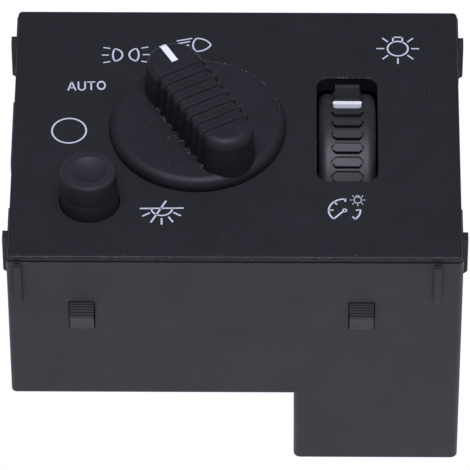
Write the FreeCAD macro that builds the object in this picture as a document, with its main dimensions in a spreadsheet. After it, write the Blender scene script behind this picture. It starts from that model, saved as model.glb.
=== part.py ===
import FreeCAD, Part
import math
import os
import Sketcher

# Headlight switch for a dash panel: a moulded case with a connector shroud behind it,
# a bezel snapped over its mouth, a ribbed turning knob, a dimmer thumbwheel and a dome
# lamp button, with the carrier, light guide and circuit board that work them inside.
#
# Frame: +Z out of the face, +X to the right, +Y up the face. The origin is the middle
# of the case mouth, in the plane of the mouth rim and of the shoulders of its side lugs.

Vector = FreeCAD.Vector

document = FreeCAD.newDocument("headlight_switch")
sheet = document.addObject("Spreadsheet::Sheet", "sizes")

# Lengths in millimetres, turns in degrees, counts as they are
SIZES = {
    # bezel plate
    "plate_side_inset": 0.3,
    "plate_end_inset": 0.25,
    "plate_thick": 1.3,
    "plate_corner": 1.0,
    "plate_edge": 0.45,
    "seam": 0.3,
    "bezel_skirt_wall": 1.5,
    "bezel_skirt_drop": 4.0,
    "fit_gap": 0.3,
    # case
    "case_width": 103.4,
    "case_length": 79.5,
    "case_depth": 44.4,
    "side_wall": 2.8,
    "end_wall": 2.2,
    "case_floor": 2.0,
    "case_corner": 1.0,
    "case_edge": 1.2,
    # connector shroud behind the case, flush with its right and lower walls
    "shroud_width": 38.2,
    "shroud_length": 22.0,
    "shroud_depth": 21.8,
    "shroud_wall": 1.8,
    "shroud_corner": 1.6,
    # snap legs of the bezel in their side channels
    "channel_outer": 22.7,
    "channel_upper": 11.05,
    "channel_lower": 8.8,
    "channel_depth": 1.7,
    "channel_drop": 14.0,
    "leg_thick": 1.2,
    "leg_drop": 13.0,
    "catch_width": 5.0,
    "catch_height": 3.0,
    "catch_drop": 6.5,
    "catch_wall": 0.2,
    # lugs and guide ribs on the outside of the case
    "lug_place": 31.2,
    "lug_width": 2.8,
    "lug_reach": 1.15,
    "lug_drop": 11.0,
    "lug_tip": 1.1,
    "rib_left_inset": 2.5,
    "rib_right_inset": 5.8,
    "rib_width": 1.7,
    "rib_reach": 1.3,
    "rib_bend": 1.95,
    "rib_start": 0.6,
    "rib_drop": 13.0,
    "rear_rib_inset": 3.2,
    "rear_rib_width": 2.8,
    "middle_rib_place": 3.1,
    "middle_rib_width": 2.0,
    # snap tongues in the lower and upper walls
    "tongue_left": 34.9,
    "tongue_right": 28.8,
    "tongue_width": 5.5,
    "tongue_top": 13.1,
    "tongue_peak": 16.4,
    "tongue_foot": 22.0,
    "tongue_proud": 2.0,
    "tongue_teeth": 6,
    "tongue_root": 0.5,
    "tongue_slot": 0.18,
    # knob
    "knob_x": -8.9,
    "knob_y": 1.2,
    "knob_radius": 20.3,
    "knob_thick": 2.8,
    "knob_edge": 2.2,
    "knob_lift": 0.3,
    "knob_ceiling": 1.6,
    "skirt_radius": 17.6,
    "skirt_wall": 2.0,
    "skirt_drop": 3.4,
    "knob_hole_gap": 0.4,
    "guide_hole_gap": 0.8,
    "hub_radius": 7.5,
    "grip_turn": 30.0,
    "grip_tip": 17.8,
    "grip_heel": 20.0,
    "grip_half": 6.9,
    "grip_rise": 9.9,
    "grip_draft": 3.5,
    "grip_edge": 1.7,
    "heel_edge": 2.2,
    "groove_first": 6.65,
    "groove_pitch": 2.89,
    "groove_count": 8,
    "groove_depth": 0.7,
    "groove_mouth": 2.3,
    "groove_bed": 1.5,
    "pointer_width": 1.6,
    "pointer_start": 10.4,
    "pointer_depth": 1.8,
    # rotor that the knob turns
    "spigot_radius": 5.0,
    "spigot_flat": 4.0,
    "spigot_rise": 8.0,
    "journal_radius": 6.0,
    "running_gap": 0.05,
    "bearing_wall": 2.4,
    "bearing_top": 5.0,
    "bearing_foot": 16.6,
    "clip_thick": 0.8,
    "clip_inner": 5.4,
    "clip_outer": 7.6,
    "clip_mouth": 7.6,
    "detent_radius": 14.0,
    "detent_thick": 2.5,
    "detent_ring": 11.0,
    "detent_step": 30.0,
    "detent_count": 4,
    "dimple_radius": 2.6,
    "dimple_depth": 0.5,
    "ball_radius": 2.0,
    "ball_gap": 0.1,
    "pocket_wall": 1.4,
    "pocket_top": 9.4,
    "detent_wire": 0.25,
    "detent_turns": 4,
    "stem_radius": 4.0,
    "brush_radius": 11.0,
    "brush_plate": 2.0,
    "wiper_thick": 0.4,
    "wiper_inner": 7.6,
    # button
    "button_side_inset": 18.2,
    "button_end_inset": 17.6,
    "button_foot": 6.75,
    "button_radius": 6.4,
    "button_flare": 4.3,
    "button_bend": 24.0,
    "button_height": 10.2,
    "button_rim": 0.8,
    "button_ring": 2.3,
    "button_dish": 11.0,
    "button_skirt": 6.0,
    "button_bore": 5.7,
    "button_ceiling": 2.4,
    "button_hole_gap": 0.2,
    "button_stroke": 3.0,
    "plunger_radius": 4.0,
    "plunger_peg": 3.0,
    "plunger_peg_rise": 5.0,
    "guide_radius": 5.3,
    "guide_top": 6.4,
    "spring_radius": 4.85,
    "spring_wire": 0.3,
    "spring_turns": 4,
    "switch_width": 6.2,
    "switch_height": 3.4,
    "actuator_radius": 1.75,
    "actuator_height": 1.3,
    # dimmer thumbwheel
    "window_gap": 14.15,
    "window_y": 1.0,
    "window_width": 14.1,
    "window_length": 33.2,
    "window_corner": 3.0,
    "collar_wall": 1.0,
    "collar_drop": 2.3,
    "wheel_drop": 16.2,
    "wheel_radius": 20.7,
    "wheel_width": 13.1,
    "wheel_crown": 2.0,
    "crown_bend": 2.1,
    "wheel_shoulder": 1.9,
    "wheel_rim": 2.7,
    "wheel_web": 2.2,
    "wheel_hub": 4.5,
    "wheel_gap": 0.4,
    "wheel_slot_spare": 0.9,
    "pad_height": 0.6,
    "pad_width": 6.6,
    "pad_length": 2.0,
    "pad_nose": 0.8,
    "pad_count": 38,
    "moat_width": 0.45,
    "moat_depth": 0.6,
    "marker_turn": 16.7,
    "marker_width": 6.6,
    "marker_length": 1.5,
    "marker_depth": 1.2,
    "tab_width": 5.6,
    "tab_height": 2.8,
    "tab_length": 2.2,
    "tab_turn": 12.3,
    "axle_radius": 2.0,
    "cheek_thick": 2.0,
    "cheek_half": 6.0,
    "cheek_drop": 5.0,
    "pot_length": 6.0,
    "pot_half": 5.3,
    "pot_leg": 0.8,
    "pot_leg_thick": 0.4,
    "pot_leg_pitch": 3.5,
    # carrier between the bezel and the board
    "carrier_top": 8.4,
    "carrier_thick": 2.0,
    "carrier_gap": 0.6,
    "boss_side_inset": 3.3,
    "boss_end_inset": 3.65,
    "boss_radius": 3.2,
    "screw_radius": 1.4,
    "screw_head": 2.5,
    "cross_reach": 0.6,
    "cross_width": 0.25,
    "screw_head_thick": 1.8,
    "screw_length": 9.0,
    "standoff_inset": 5.9,
    "standoff_upper": 22.0,
    "standoff_lower": 12.0,
    "standoff_radius": 2.2,
    # light guide
    "guide_plate_top": 1.0,
    "guide_plate_thick": 1.6,
    "pipe_radius": 1.6,
    "pipe_gap": 0.6,
    # circuit board
    "board_top": 28.4,
    "board_thick": 1.6,
    "board_boss_gap": 0.4,
    "board_upper_gap": 8.55,
    "board_lower_gap": 4.55,
    "post_side_inset": 4.5,
    "post_upper_inset": 3.5,
    "post_lower_inset": 4.0,
    "post_header_gap": 6.1,
    "post_radius": 2.6,
    "post_screw": 1.1,
    "post_head": 2.2,
    "post_head_thick": 1.5,
    "led_long": 3.2,
    "led_short": 2.8,
    "led_height": 1.1,
    "chip_long": 9.0,
    "chip_wide": 6.0,
    "chip_height": 1.5,
    "chip_x": 9.0,
    "chip_inset": 6.0,
    "chip_leg": 0.5,
    "chip_leg_pitch": 1.27,
    "resistor_long": 2.0,
    "resistor_wide": 1.25,
    "resistor_height": 0.6,
    "resistor_shift": 3.4,
    # connector
    "pin_side": 0.9,
    "pin_hole": 0.7,
    "pin_pitch": 3.5,
    "pin_rows_gap": 4.0,
    "pin_columns": 5,
    "pin_tail": 1.0,
    "pin_reach": 12.0,
    "header_long": 19.0,
    "header_wide": 9.0,
    "header_nose": 1.2,
}

# Where each lamp on the board stands, by the mark that it lights: each distance is taken
# inwards from the named edge of the board, or from the middle
LAMPS = {
    "headlamp": ("middle", -9.6, "upper", 2.4),
    "parking": ("left", 17.0, "upper", 3.0),
    "automatic": ("left", 6.0, "middle", 15.0),
    "off": ("left", 4.0, "middle", 0.0),
    "dome": ("middle", -17.0, "lower", 7.0),
    "dimmer": ("middle", 21.5, "lower", 8.4),
    "bulb": ("right", 9.5, "upper", 3.0),
}

# An arc's radius is just over half its chord, so that it can span a half turn
ARC_EASE = 1.0001
# A rounding between faces that aren't quite square is a little larger than its legs
DRAFT_EASE = 1.02


class Measure:
    """A number together with the sheet formula that gives it."""

    def __init__(self, value, formula):
        self.value = value
        self.formula = formula

    def __add__(self, other):
        other = measure(other)
        return Measure(self.value + other.value, f"({self.formula} + {other.formula})")

    def __sub__(self, other):
        other = measure(other)
        return Measure(self.value - other.value, f"({self.formula} - {other.formula})")

    def __mul__(self, factor):
        factor = measure(factor)
        return Measure(self.value * factor.value, f"({self.formula} * {factor.formula})")

    def __truediv__(self, factor):
        factor = measure(factor)
        return Measure(self.value / factor.value, f"({self.formula} / {factor.formula})")

    def __neg__(self):
        return Measure(-self.value, f"(0 - {self.formula})")

    def __radd__(self, other):
        return measure(other) + self

    def __rsub__(self, other):
        return measure(other) - self

    def __rmul__(self, factor):
        return measure(factor) * self


def measure(amount):
    """Any plain number as a Measure."""
    if isinstance(amount, Measure):
        return amount
    return Measure(float(amount), repr(float(amount)))


def fill_sheet():
    """Writes every size into the sheet as a plain number with its own alias."""
    cells = dict(SIZES)
    for mark, (_, x, _, y) in LAMPS.items():
        cells[f"{mark}_lamp_x"] = x
        cells[f"{mark}_lamp_y"] = y
    for row, (alias, number) in enumerate(cells.items(), start=1):
        sheet.set(f"A{row}", alias)
        sheet.set(f"B{row}", str(number))
        sheet.setAlias(f"B{row}", alias)
    document.recompute()


class Sizes:
    """Reads the sheet, so that size.case_width is that cell as a Measure."""

    def __getattr__(self, alias):
        return Measure(float(sheet.get(alias)), f"sizes.{alias}")


fill_sheet()
size = Sizes()

# Heights and half sizes that several pieces share
PLATE_TOP = size.seam + size.plate_thick
CASE_X = size.case_width / 2
CASE_Y = size.case_length / 2
INNER_X = CASE_X - size.side_wall
INNER_Y = CASE_Y - size.end_wall
CASE_BACK = -size.case_depth
CASE_FLOOR = CASE_BACK + size.case_floor
SHROUD_BACK = CASE_BACK - size.shroud_depth
PLATE_X = CASE_X - size.plate_side_inset
PLATE_Y = CASE_Y - size.plate_end_inset
SHROUD_LEFT = CASE_X - size.shroud_width
SHROUD_INNER = SHROUD_LEFT + size.shroud_wall
SHROUD_TOP_Y = -CASE_Y + size.shroud_length
CAVITY_X = (SHROUD_INNER + CASE_X - size.shroud_wall) / 2
CAVITY_Y = -CASE_Y + size.shroud_length / 2
CARRIER_TOP = -size.carrier_top
CARRIER_LOW = CARRIER_TOP - size.carrier_thick
BOARD_TOP = -size.board_top
BOARD_LOW = BOARD_TOP - size.board_thick
GUIDE_TOP = -size.guide_plate_top
GUIDE_LOW = GUIDE_TOP - size.guide_plate_thick
KNOB_LOW = PLATE_TOP + size.knob_lift
KNOB_TOP = KNOB_LOW + size.knob_thick
HUB_FOOT = -size.skirt_drop
DETENT_TOP = -size.bearing_foot - size.fit_gap
DETENT_LOW = DETENT_TOP - size.detent_thick
BRUSH_FOOT = BOARD_TOP + size.fit_gap + size.wiper_thick
BALL_Z = DETENT_TOP + size.ball_gap + size.ball_radius
BEARING_OUTER = size.journal_radius + size.running_gap + size.bearing_wall
POCKET_RADIUS = size.ball_radius + size.running_gap
WHEEL_Z = -size.wheel_drop
WHEEL_HALF = size.wheel_width / 2
CHEEK_INNER = WHEEL_HALF + size.wheel_gap
CHEEK_OUTER = CHEEK_INNER + size.cheek_thick
PAD_RADIUS = size.wheel_radius + size.pad_height
TAB_RADIUS = size.wheel_radius + size.tab_height
WINDOW_X = size.knob_x + size.knob_radius + size.window_gap
BUTTON_X = -PLATE_X + size.button_side_inset
BUTTON_Y = -PLATE_Y + size.button_end_inset
BUTTON_TOP = PLATE_TOP + size.button_height
BUTTON_FLARE = PLATE_TOP + size.button_flare
BUTTON_FOOT = PLATE_TOP - size.button_skirt
BUTTON_CEILING = PLATE_TOP + size.button_ceiling
BUTTON_SPRING_FOOT = -size.guide_top
SWITCH_TOP = BOARD_TOP + size.switch_height
ACTUATOR_TOP = SWITCH_TOP + size.actuator_height + size.fit_gap
BOSS_X = INNER_X - size.boss_side_inset
BOSS_Y = INNER_Y - size.boss_end_inset
BOARD_X = BOSS_X - size.boss_radius - size.board_boss_gap
BOARD_UPPER = INNER_Y - size.board_upper_gap
BOARD_LOWER = INNER_Y - size.board_lower_gap
CHANNEL_X = CASE_X - size.channel_depth
SIDES = (-1, 1)


# Helpers for bound objects

def bind(item, name, amount):
    """Ties one property of an object to the sheet."""
    item.setExpression(name, measure(amount).formula)


def place(item, x, y, z):
    """Ties an object's position to the sheet."""
    for axis, amount in zip("xyz", (x, y, z)):
        bind(item, f"Placement.Base.{axis}", amount)


def block(name, x, y, z):
    """A box given by its (from, to) pair along each axis."""
    item = document.addObject("Part::Box", name)
    for edge, (low, high) in zip(("Length", "Width", "Height"), (x, y, z)):
        bind(item, edge, measure(high) - low)
    place(item, x[0], y[0], z[0])
    return item


def rod(name, radius, x, y, z):
    """A cylinder along the one axis that is given as a (from, to) pair."""
    item = document.addObject("Part::Cylinder", name)
    bind(item, "Radius", radius)
    if isinstance(x, tuple):
        item.Placement.Rotation = FreeCAD.Rotation(Vector(0, 1, 0), 90)
        low, high = x
        place(item, low, y, z)
    else:
        low, high = z
        place(item, x, y, low)
    bind(item, "Height", measure(high) - low)
    return item


def joined(name, pieces):
    """One shape from pieces that touch or overlap."""
    item = document.addObject("Part::MultiFuse", name)
    item.Shapes = pieces
    item.Refine = True
    return item


def cut(name, base, tools):
    """The base with every tool taken out of it."""
    item = document.addObject("Part::Cut", name)
    item.Base = base
    item.Tool = tools[0] if len(tools) == 1 else joined(name + "_tools", tools)
    item.Refine = True
    return item


def common(name, first, second):
    """What two shapes share."""
    item = document.addObject("Part::MultiCommon", name)
    item.Shapes = [first, second]
    return item


def group(name, pieces):
    """Separate solids that share one node."""
    item = document.addObject("Part::Compound", name)
    item.Links = pieces
    return item


# Helpers for bodies and sketches

def new_body(name):
    """A body to model one piece in."""
    return document.addObject("PartDesign::Body", name)


def new_sketch(body, name, role="XY_Plane", lift=0.0):
    """A sketch on one of the body's own origin planes, lifted along its normal."""
    item = body.newObject("Sketcher::SketchObject", name)
    plane = next(part for part in body.Origin.OriginFeatures if part.Role == role)
    item.AttachmentSupport = [(plane, "")]
    item.MapMode = "FlatFace"
    bind(item, "AttachmentOffset.Base.z", lift)
    return item


def hold_point(sketch, line, end, x, y):
    """Ties one end of a line, or a centre, to its place in the sheet."""
    for kind, amount in (("DistanceX", x), ("DistanceY", y)):
        amount = measure(amount)
        number = sketch.addConstraint(
            Sketcher.Constraint(kind, -1, 1, line, end, amount.value))
        bind(sketch, f"Constraints[{number}]", amount)


def draw_circle(sketch, x, y, radius):
    """A circle with its centre and radius tied to the sheet."""
    centre = Vector(measure(x).value, measure(y).value, 0)
    radius = measure(radius)
    line = sketch.addGeometry(Part.Circle(centre, Vector(0, 0, 1), radius.value), False)
    hold_point(sketch, line, 3, x, y)
    number = sketch.addConstraint(Sketcher.Constraint("Radius", line, radius.value))
    bind(sketch, f"Constraints[{number}]", radius)


def bend_arc(start, end, radius):
    """The short arc between two points; a positive radius turns left."""
    along = end - start
    half = along.Length / 2
    rise = math.sqrt(radius ** 2 - half ** 2)
    side = Vector(-along.y, along.x, 0).normalize()
    centre = (start + end) * 0.5 + side * math.copysign(rise, radius)
    first, last = (start, end) if radius > 0 else (end, start)
    turns = [math.atan2(point.y - centre.y, point.x - centre.x) for point in (first, last)]
    circle = Part.Circle(centre, Vector(0, 0, 1), abs(radius))
    return Part.ArcOfCircle(circle, turns[0], turns[1])


def draw_outline(sketch, corners, closed=True):
    """An outline through corners (x, y) or (x, y, bend to the next corner)."""
    points = [Vector(measure(c[0]).value, measure(c[1]).value, 0) for c in corners]
    count = len(corners) if closed else len(corners) - 1
    ends = []
    for index in range(count):
        start = points[index]
        end = points[(index + 1) % len(points)]
        bend = corners[index][2] if len(corners[index]) == 3 else None
        if bend is None:
            line = sketch.addGeometry(Part.LineSegment(start, end), False)
            ends.append((line, 1, 2))
            continue
        bend = measure(bend)
        line = sketch.addGeometry(bend_arc(start, end, bend.value), False)
        ends.append((line, 1, 2) if bend.value > 0 else (line, 2, 1))
        number = sketch.addConstraint(
            Sketcher.Constraint("Radius", line, abs(bend.value)))
        bind(sketch, f"Constraints[{number}]", bend if bend.value > 0 else -bend)
    for index in range(count if closed else count - 1):
        line, _, last = ends[index]
        following, first, _ = ends[(index + 1) % count]
        sketch.addConstraint(
            Sketcher.Constraint("Coincident", line, last, following, first))
    for (line, first, _), corner in zip(ends, corners):
        hold_point(sketch, line, first, corner[0], corner[1])
    if not closed:
        hold_point(sketch, ends[-1][0], ends[-1][2], corners[-1][0], corners[-1][1])


def draw_rectangle(sketch, x, y):
    """A rectangle given by its (from, to) pair along each axis."""
    draw_outline(sketch, [(x[0], y[0]), (x[1], y[0]), (x[1], y[1]), (x[0], y[1])])


def add_feature(body, kind, name, profile, depth, back=False):
    """A pad, or a pocket that cuts against its sketch's normal unless back is set."""
    item = body.newObject(f"PartDesign::{kind}", name)
    item.Profile = profile
    bind(item, "Length", depth)
    item.Reversed = back
    return item


def add_turning(body, kind, name, profile, axis="V_Axis"):
    """A full revolution, or a groove, about an axis of its own sketch."""
    item = body.newObject(f"PartDesign::{kind}", name)
    item.Profile = profile
    item.ReferenceAxis = (profile, [axis])
    item.Angle = 360
    return item


def edges_where(feature, test):
    """The names of a feature's edges whose two ends both pass the test."""
    document.recompute()
    names = []
    for number, edge in enumerate(feature.Shape.Edges, start=1):
        ends = [vertex.Point for vertex in edge.Vertexes]
        if all(test(point) for point in ends):
            names.append(f"Edge{number}")
    return names


def add_rounding(body, name, feature, edges, radius):
    """A fillet on some edges of the body."""
    item = body.newObject("PartDesign::Fillet", name)
    item.Base = (feature, edges)
    bind(item, "Radius", radius)
    return item


def near(first, second):
    """Whether two coordinates are the same place."""
    return abs(first - measure(second).value) < 1e-4


def upright_edges(feature, radius_ok):
    """Names of the vertical edges whose place passes the test."""
    document.recompute()
    names = []
    for number, edge in enumerate(feature.Shape.Edges, start=1):
        if len(edge.Vertexes) != 2:
            continue
        low, high = (vertex.Point for vertex in edge.Vertexes)
        upright = abs(low.x - high.x) < 1e-4 and abs(low.y - high.y) < 1e-4
        if upright and radius_ok(low):
            names.append(f"Edge{number}")
    return names


# The pieces, each a function that returns its finished object

def make_case_shell():
    """The hollow case with its floor and the connector shroud behind it."""
    body = new_body("case_shell")
    outside = new_sketch(body, "case_outline", lift=CASE_BACK)
    draw_rectangle(outside, (-CASE_X, CASE_X), (-CASE_Y, CASE_Y))
    shell = add_feature(body, "Pad", "case_block", outside, size.case_depth)
    corners = upright_edges(shell, lambda point: True)
    shell = add_rounding(body, "case_corners", shell, corners, size.case_corner)
    rim = edges_where(shell, lambda point: near(point.z, CASE_BACK))
    add_rounding(body, "case_back_edge", shell, rim, size.case_edge)
    shroud = new_sketch(body, "shroud_outline", lift=SHROUD_BACK)
    draw_rectangle(shroud, (SHROUD_LEFT, CASE_X), (-CASE_Y, SHROUD_TOP_Y))
    overlap = size.case_floor
    shell = add_feature(body, "Pad", "shroud_block", shroud, size.shroud_depth + overlap)
    corners = upright_edges(shell, lambda point: near(point.z, SHROUD_BACK)
                            or point.z < CASE_BACK.value - 1)
    shell = add_rounding(body, "shroud_corners", shell, corners, size.shroud_corner)
    inside = new_sketch(body, "case_inside")
    draw_rectangle(inside, (-INNER_X, INNER_X), (-INNER_Y, INNER_Y))
    add_feature(body, "Pocket", "case_hollow", inside, size.case_depth - size.case_floor)
    cavity = new_sketch(body, "cavity_outline", lift=SHROUD_BACK)
    draw_rectangle(cavity, (SHROUD_INNER, CASE_X - size.shroud_wall),
                   (-CASE_Y + size.shroud_wall, SHROUD_TOP_Y - size.shroud_wall))
    add_feature(body, "Pocket", "cavity", cavity, size.shroud_depth, back=True)
    slot = new_sketch(body, "header_slot_outline", lift=CASE_FLOOR)
    draw_rectangle(slot, (CAVITY_X - size.header_long / 2, CAVITY_X + size.header_long / 2),
                   (CAVITY_Y - size.header_wide / 2, CAVITY_Y + size.header_wide / 2))
    add_feature(body, "Pocket", "header_slot", slot, size.case_floor)
    return body


def tongue_profile(body, name, side):
    """The snap's section: fine steps out to its crest, then a ramp for entry."""
    sketch = new_sketch(body, name, role="YZ_Plane", lift=-size.tongue_width / 2)
    teeth = int(size.tongue_teeth.value)
    wall = CASE_Y
    step_out = size.tongue_proud / size.tongue_teeth
    step_down = (size.tongue_peak - size.tongue_top) / size.tongue_teeth
    corners = [(side * (wall - size.tongue_root), -size.tongue_foot),
               (side * (wall - size.tongue_root), -size.tongue_top)]
    for tooth in range(teeth):
        low = -size.tongue_top - step_down * tooth
        corners.append((side * (wall + step_out * tooth), low))
        corners.append((side * (wall + step_out * (tooth + 1)), low))
    corners.append((side * (wall + size.tongue_proud), -size.tongue_peak))
    corners.append((side * wall, -size.tongue_foot))
    unique = [corners[0], corners[1]]
    unique.extend(corners[3:])
    draw_outline(sketch, unique)
    return sketch


def make_tongues():
    """The four snap bumps, and the slots that free a tongue round each."""
    bumps = []
    slots = []
    for side, wall_name in ((-1, "lower"), (1, "upper")):
        for centre, place_name in ((-size.tongue_left, "left"), (size.tongue_right, "right")):
            name = f"{wall_name}_{place_name}_tongue"
            body = new_body(name)
            profile = tongue_profile(body, name + "_profile", side)
            add_feature(body, "Pad", name + "_pad", profile, size.tongue_width)
            place(body, centre, 0, 0)
            bumps.append(body)
            outer = side * (CASE_Y + size.fit_gap)
            inner = side * (INNER_Y - size.fit_gap)
            wall = (inner, outer) if side > 0 else (outer, inner)
            half = size.tongue_width / 2
            top = (-size.tongue_top, -size.tongue_top + size.tongue_slot)
            slots.append(block(name + "_top_slot", (centre - half - size.tongue_slot,
                         centre + half + size.tongue_slot), wall, top))
            for edge in SIDES:
                start = centre + edge * half
                end = start + edge * size.tongue_slot
                pair = (start, end) if edge > 0 else (end, start)
                slots.append(block(f"{name}_side_slot", pair, wall,
                                   (-size.tongue_foot, -size.tongue_top)))
    return bumps, slots


def make_lugs_and_ribs():
    """Side lugs with a chamfered tip, and the guide ribs of the end walls."""
    pieces = []
    for side in SIDES:
        for end in SIDES:
            lug = new_body("lug")
            sketch = new_sketch(lug, "lug_profile", role="XZ_Plane", lift=-size.lug_width / 2)
            root = side * (CASE_X - size.lug_tip)
            face = side * (CASE_X + size.lug_reach)
            draw_outline(sketch, [(root, 0), (root, -size.lug_drop),
                                  (side * CASE_X, -size.lug_drop),
                                  (face, -size.lug_drop + size.lug_tip), (face, 0)])
            add_feature(lug, "Pad", "lug_pad", sketch, size.lug_width)
            place(lug, 0, end * size.lug_place, 0)
            pieces.append(lug)
    lower = [(-CASE_X + size.rib_left_inset, size.rib_width),
             (CASE_X - size.rib_right_inset, size.rib_width)]
    upper = [(-CASE_X + size.rear_rib_inset, size.rear_rib_width),
             (size.middle_rib_place, size.middle_rib_width)]
    for side, ribs in ((-1, lower), (1, upper)):
        for centre, width in ribs:
            wall = side * (CASE_Y - size.rib_reach)
            face = side * (CASE_Y + size.rib_reach)
            rib = new_body("rib")
            sketch = new_sketch(rib, "rib_profile", role="YZ_Plane", lift=-width / 2)
            foot = -size.rib_drop
            draw_outline(sketch, [(wall, -size.rib_start), (wall, foot),
                                  (side * CASE_Y, foot, side * size.rib_bend),
                                  (face, foot + size.rib_reach),
                                  (face, -size.rib_start)])
            add_feature(rib, "Pad", "rib_pad", sketch, width)
            place(rib, centre, 0, 0)
            pieces.append(rib)
    return pieces


def channel_spans():
    """The lengths along Y of the side channels: two on the left, one wide on the right."""
    outer = size.channel_outer
    return {-1: [(-outer, -size.channel_lower), (size.channel_upper, outer)],
            1: [(-outer, outer)]}


def leg_spans():
    """The lengths along Y of the two snap legs of each side."""
    outer = size.channel_outer - size.fit_gap
    return [(-outer, -size.channel_lower - size.fit_gap),
            (size.channel_upper + size.fit_gap, outer)]


def side_pair(side, inner, outer):
    """A (from, to) pair along X for the left or the right side."""
    return (inner, outer) if side > 0 else (-outer, -inner)


def make_channels():
    """The recesses in the side walls that the bezel's legs slide down."""
    tools = []
    for side, spans in channel_spans().items():
        for span in spans:
            x = side_pair(side, CHANNEL_X, CASE_X + size.fit_gap)
            tools.append(block("channel", x, span, (-size.channel_drop, size.fit_gap)))
    return tools


def catch_middle(span):
    """The middle of a leg along Y."""
    return (span[0] + span[1]) / 2


def make_catches():
    """The wedges in the channels that the windows of the legs drop over."""
    pieces = []
    for side in SIDES:
        for span in leg_spans():
            body = new_body("catch")
            sketch = new_sketch(body, "catch_profile", role="XZ_Plane",
                                lift=-size.catch_width / 2)
            root = side * (CHANNEL_X - size.catch_wall)
            start = side * CHANNEL_X
            face = side * PLATE_X
            foot = -size.catch_drop - size.catch_height
            draw_outline(sketch, [(root, foot), (face, foot), (start, -size.catch_drop),
                                  (root, -size.catch_drop)])
            add_feature(body, "Pad", "catch_pad", sketch, size.catch_width)
            place(body, 0, catch_middle(span), 0)
            pieces.append(body)
    return pieces


def boss_places():
    """Where the four carrier screws stand."""
    return [(side * BOSS_X, end * BOSS_Y) for side in SIDES for end in SIDES]


def post_places():
    """Where the four board screws stand."""
    side = BOARD_X - size.post_side_inset
    upper = BOARD_UPPER - size.post_upper_inset
    lower = -BOARD_LOWER + size.post_lower_inset
    by_header = CAVITY_X - size.header_long / 2 - size.post_header_gap
    return [(-side, upper), (side, upper), (-side, lower), (by_header, lower)]


def make_housing():
    """The case: one moulding with its shroud, lugs, ribs, snaps, bosses and posts."""
    bumps, slots = make_tongues()
    bosses = []
    pilots = []
    floor = CASE_FLOOR - size.catch_wall
    for x, y in boss_places():
        bosses.append(rod("boss", size.boss_radius, x, y, (floor, CARRIER_LOW)))
        pilots.append(rod("boss_pilot", size.screw_radius, x, y,
                          (CARRIER_LOW - size.screw_length, CARRIER_LOW)))
    for x, y in post_places():
        bosses.append(rod("post", size.post_radius, x, y, (floor, BOARD_LOW)))
        pilots.append(rod("post_pilot", size.post_screw, x, y,
                          (BOARD_LOW - size.screw_length, BOARD_LOW)))
    walls = cut("case_with_channels", make_case_shell(), make_channels() + slots)
    solid = joined("case_with_bosses",
                   [walls] + bosses + make_lugs_and_ribs() + bumps + make_catches())
    return cut("housing", solid, pilots)


def make_bezel():
    """The face plate with its openings, inner skirt and four snap legs."""
    body = new_body("bezel_plate")
    outline = new_sketch(body, "plate_outline", lift=size.seam)
    draw_rectangle(outline, (-PLATE_X, PLATE_X),
                   (-PLATE_Y, PLATE_Y))
    plate = add_feature(body, "Pad", "plate", outline, size.plate_thick)
    corners = upright_edges(plate, lambda point: True)
    plate = add_rounding(body, "plate_corners", plate, corners, size.plate_corner)
    rim = edges_where(plate, lambda point: near(point.z, PLATE_TOP))
    add_rounding(body, "plate_rim", plate, rim, size.plate_edge)
    skirt = new_sketch(body, "bezel_skirt_outline", lift=-size.bezel_skirt_drop)
    outer_x = INNER_X - size.fit_gap
    outer_y = INNER_Y - size.fit_gap
    draw_rectangle(skirt, (-outer_x, outer_x), (-outer_y, outer_y))
    inner_x = outer_x - size.bezel_skirt_wall
    inner_y = outer_y - size.bezel_skirt_wall
    draw_rectangle(skirt, (-inner_x, inner_x), (-inner_y, inner_y))
    add_feature(body, "Pad", "bezel_skirt", skirt, size.bezel_skirt_drop + PLATE_TOP / 2)
    holes = new_sketch(body, "round_openings", lift=PLATE_TOP)
    draw_circle(holes, size.knob_x, size.knob_y, size.skirt_radius + size.knob_hole_gap)
    draw_circle(holes, BUTTON_X, BUTTON_Y, size.button_foot + size.button_hole_gap)
    add_feature(body, "Pocket", "round_holes", holes, size.plate_thick)
    half_x = size.window_width / 2
    half_y = size.window_length / 2
    wall = size.collar_wall
    collar = new_sketch(body, "collar_outline", lift=-size.collar_drop)
    draw_rectangle(collar, (WINDOW_X - half_x - wall, WINDOW_X + half_x + wall),
                   (size.window_y - half_y - wall, size.window_y + half_y + wall))
    add_feature(body, "Pad", "collar", collar, size.collar_drop + PLATE_TOP / 2)
    window = new_sketch(body, "window_outline", lift=PLATE_TOP)
    draw_rectangle(window, (WINDOW_X - half_x, WINDOW_X + half_x),
                   (size.window_y - half_y, size.window_y + half_y))
    opening = add_feature(body, "Pocket", "window", window, PLATE_TOP + size.collar_drop)
    left = (WINDOW_X - half_x).value
    right = (WINDOW_X + half_x).value
    corners = upright_edges(opening, lambda point: near(point.x, left) or near(point.x, right))
    add_rounding(body, "window_corners", opening, corners, size.window_corner)
    legs = []
    windows = []
    for side in SIDES:
        for span in leg_spans():
            x = side_pair(side, PLATE_X - size.leg_thick, PLATE_X)
            legs.append(block("leg", x, span, (-size.leg_drop, size.seam)))
            middle = catch_middle(span)
            half = size.catch_width / 2 + size.catch_wall
            z = (-size.catch_drop - size.catch_height - size.catch_wall,
                 -size.catch_drop + size.catch_wall)
            reach = side_pair(side, PLATE_X - size.leg_thick * 2, PLATE_X + size.fit_gap)
            windows.append(block("leg_window", reach, (middle - half, middle + half), z))
    return cut("bezel", joined("bezel_with_legs", [body] + legs), windows)


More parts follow.
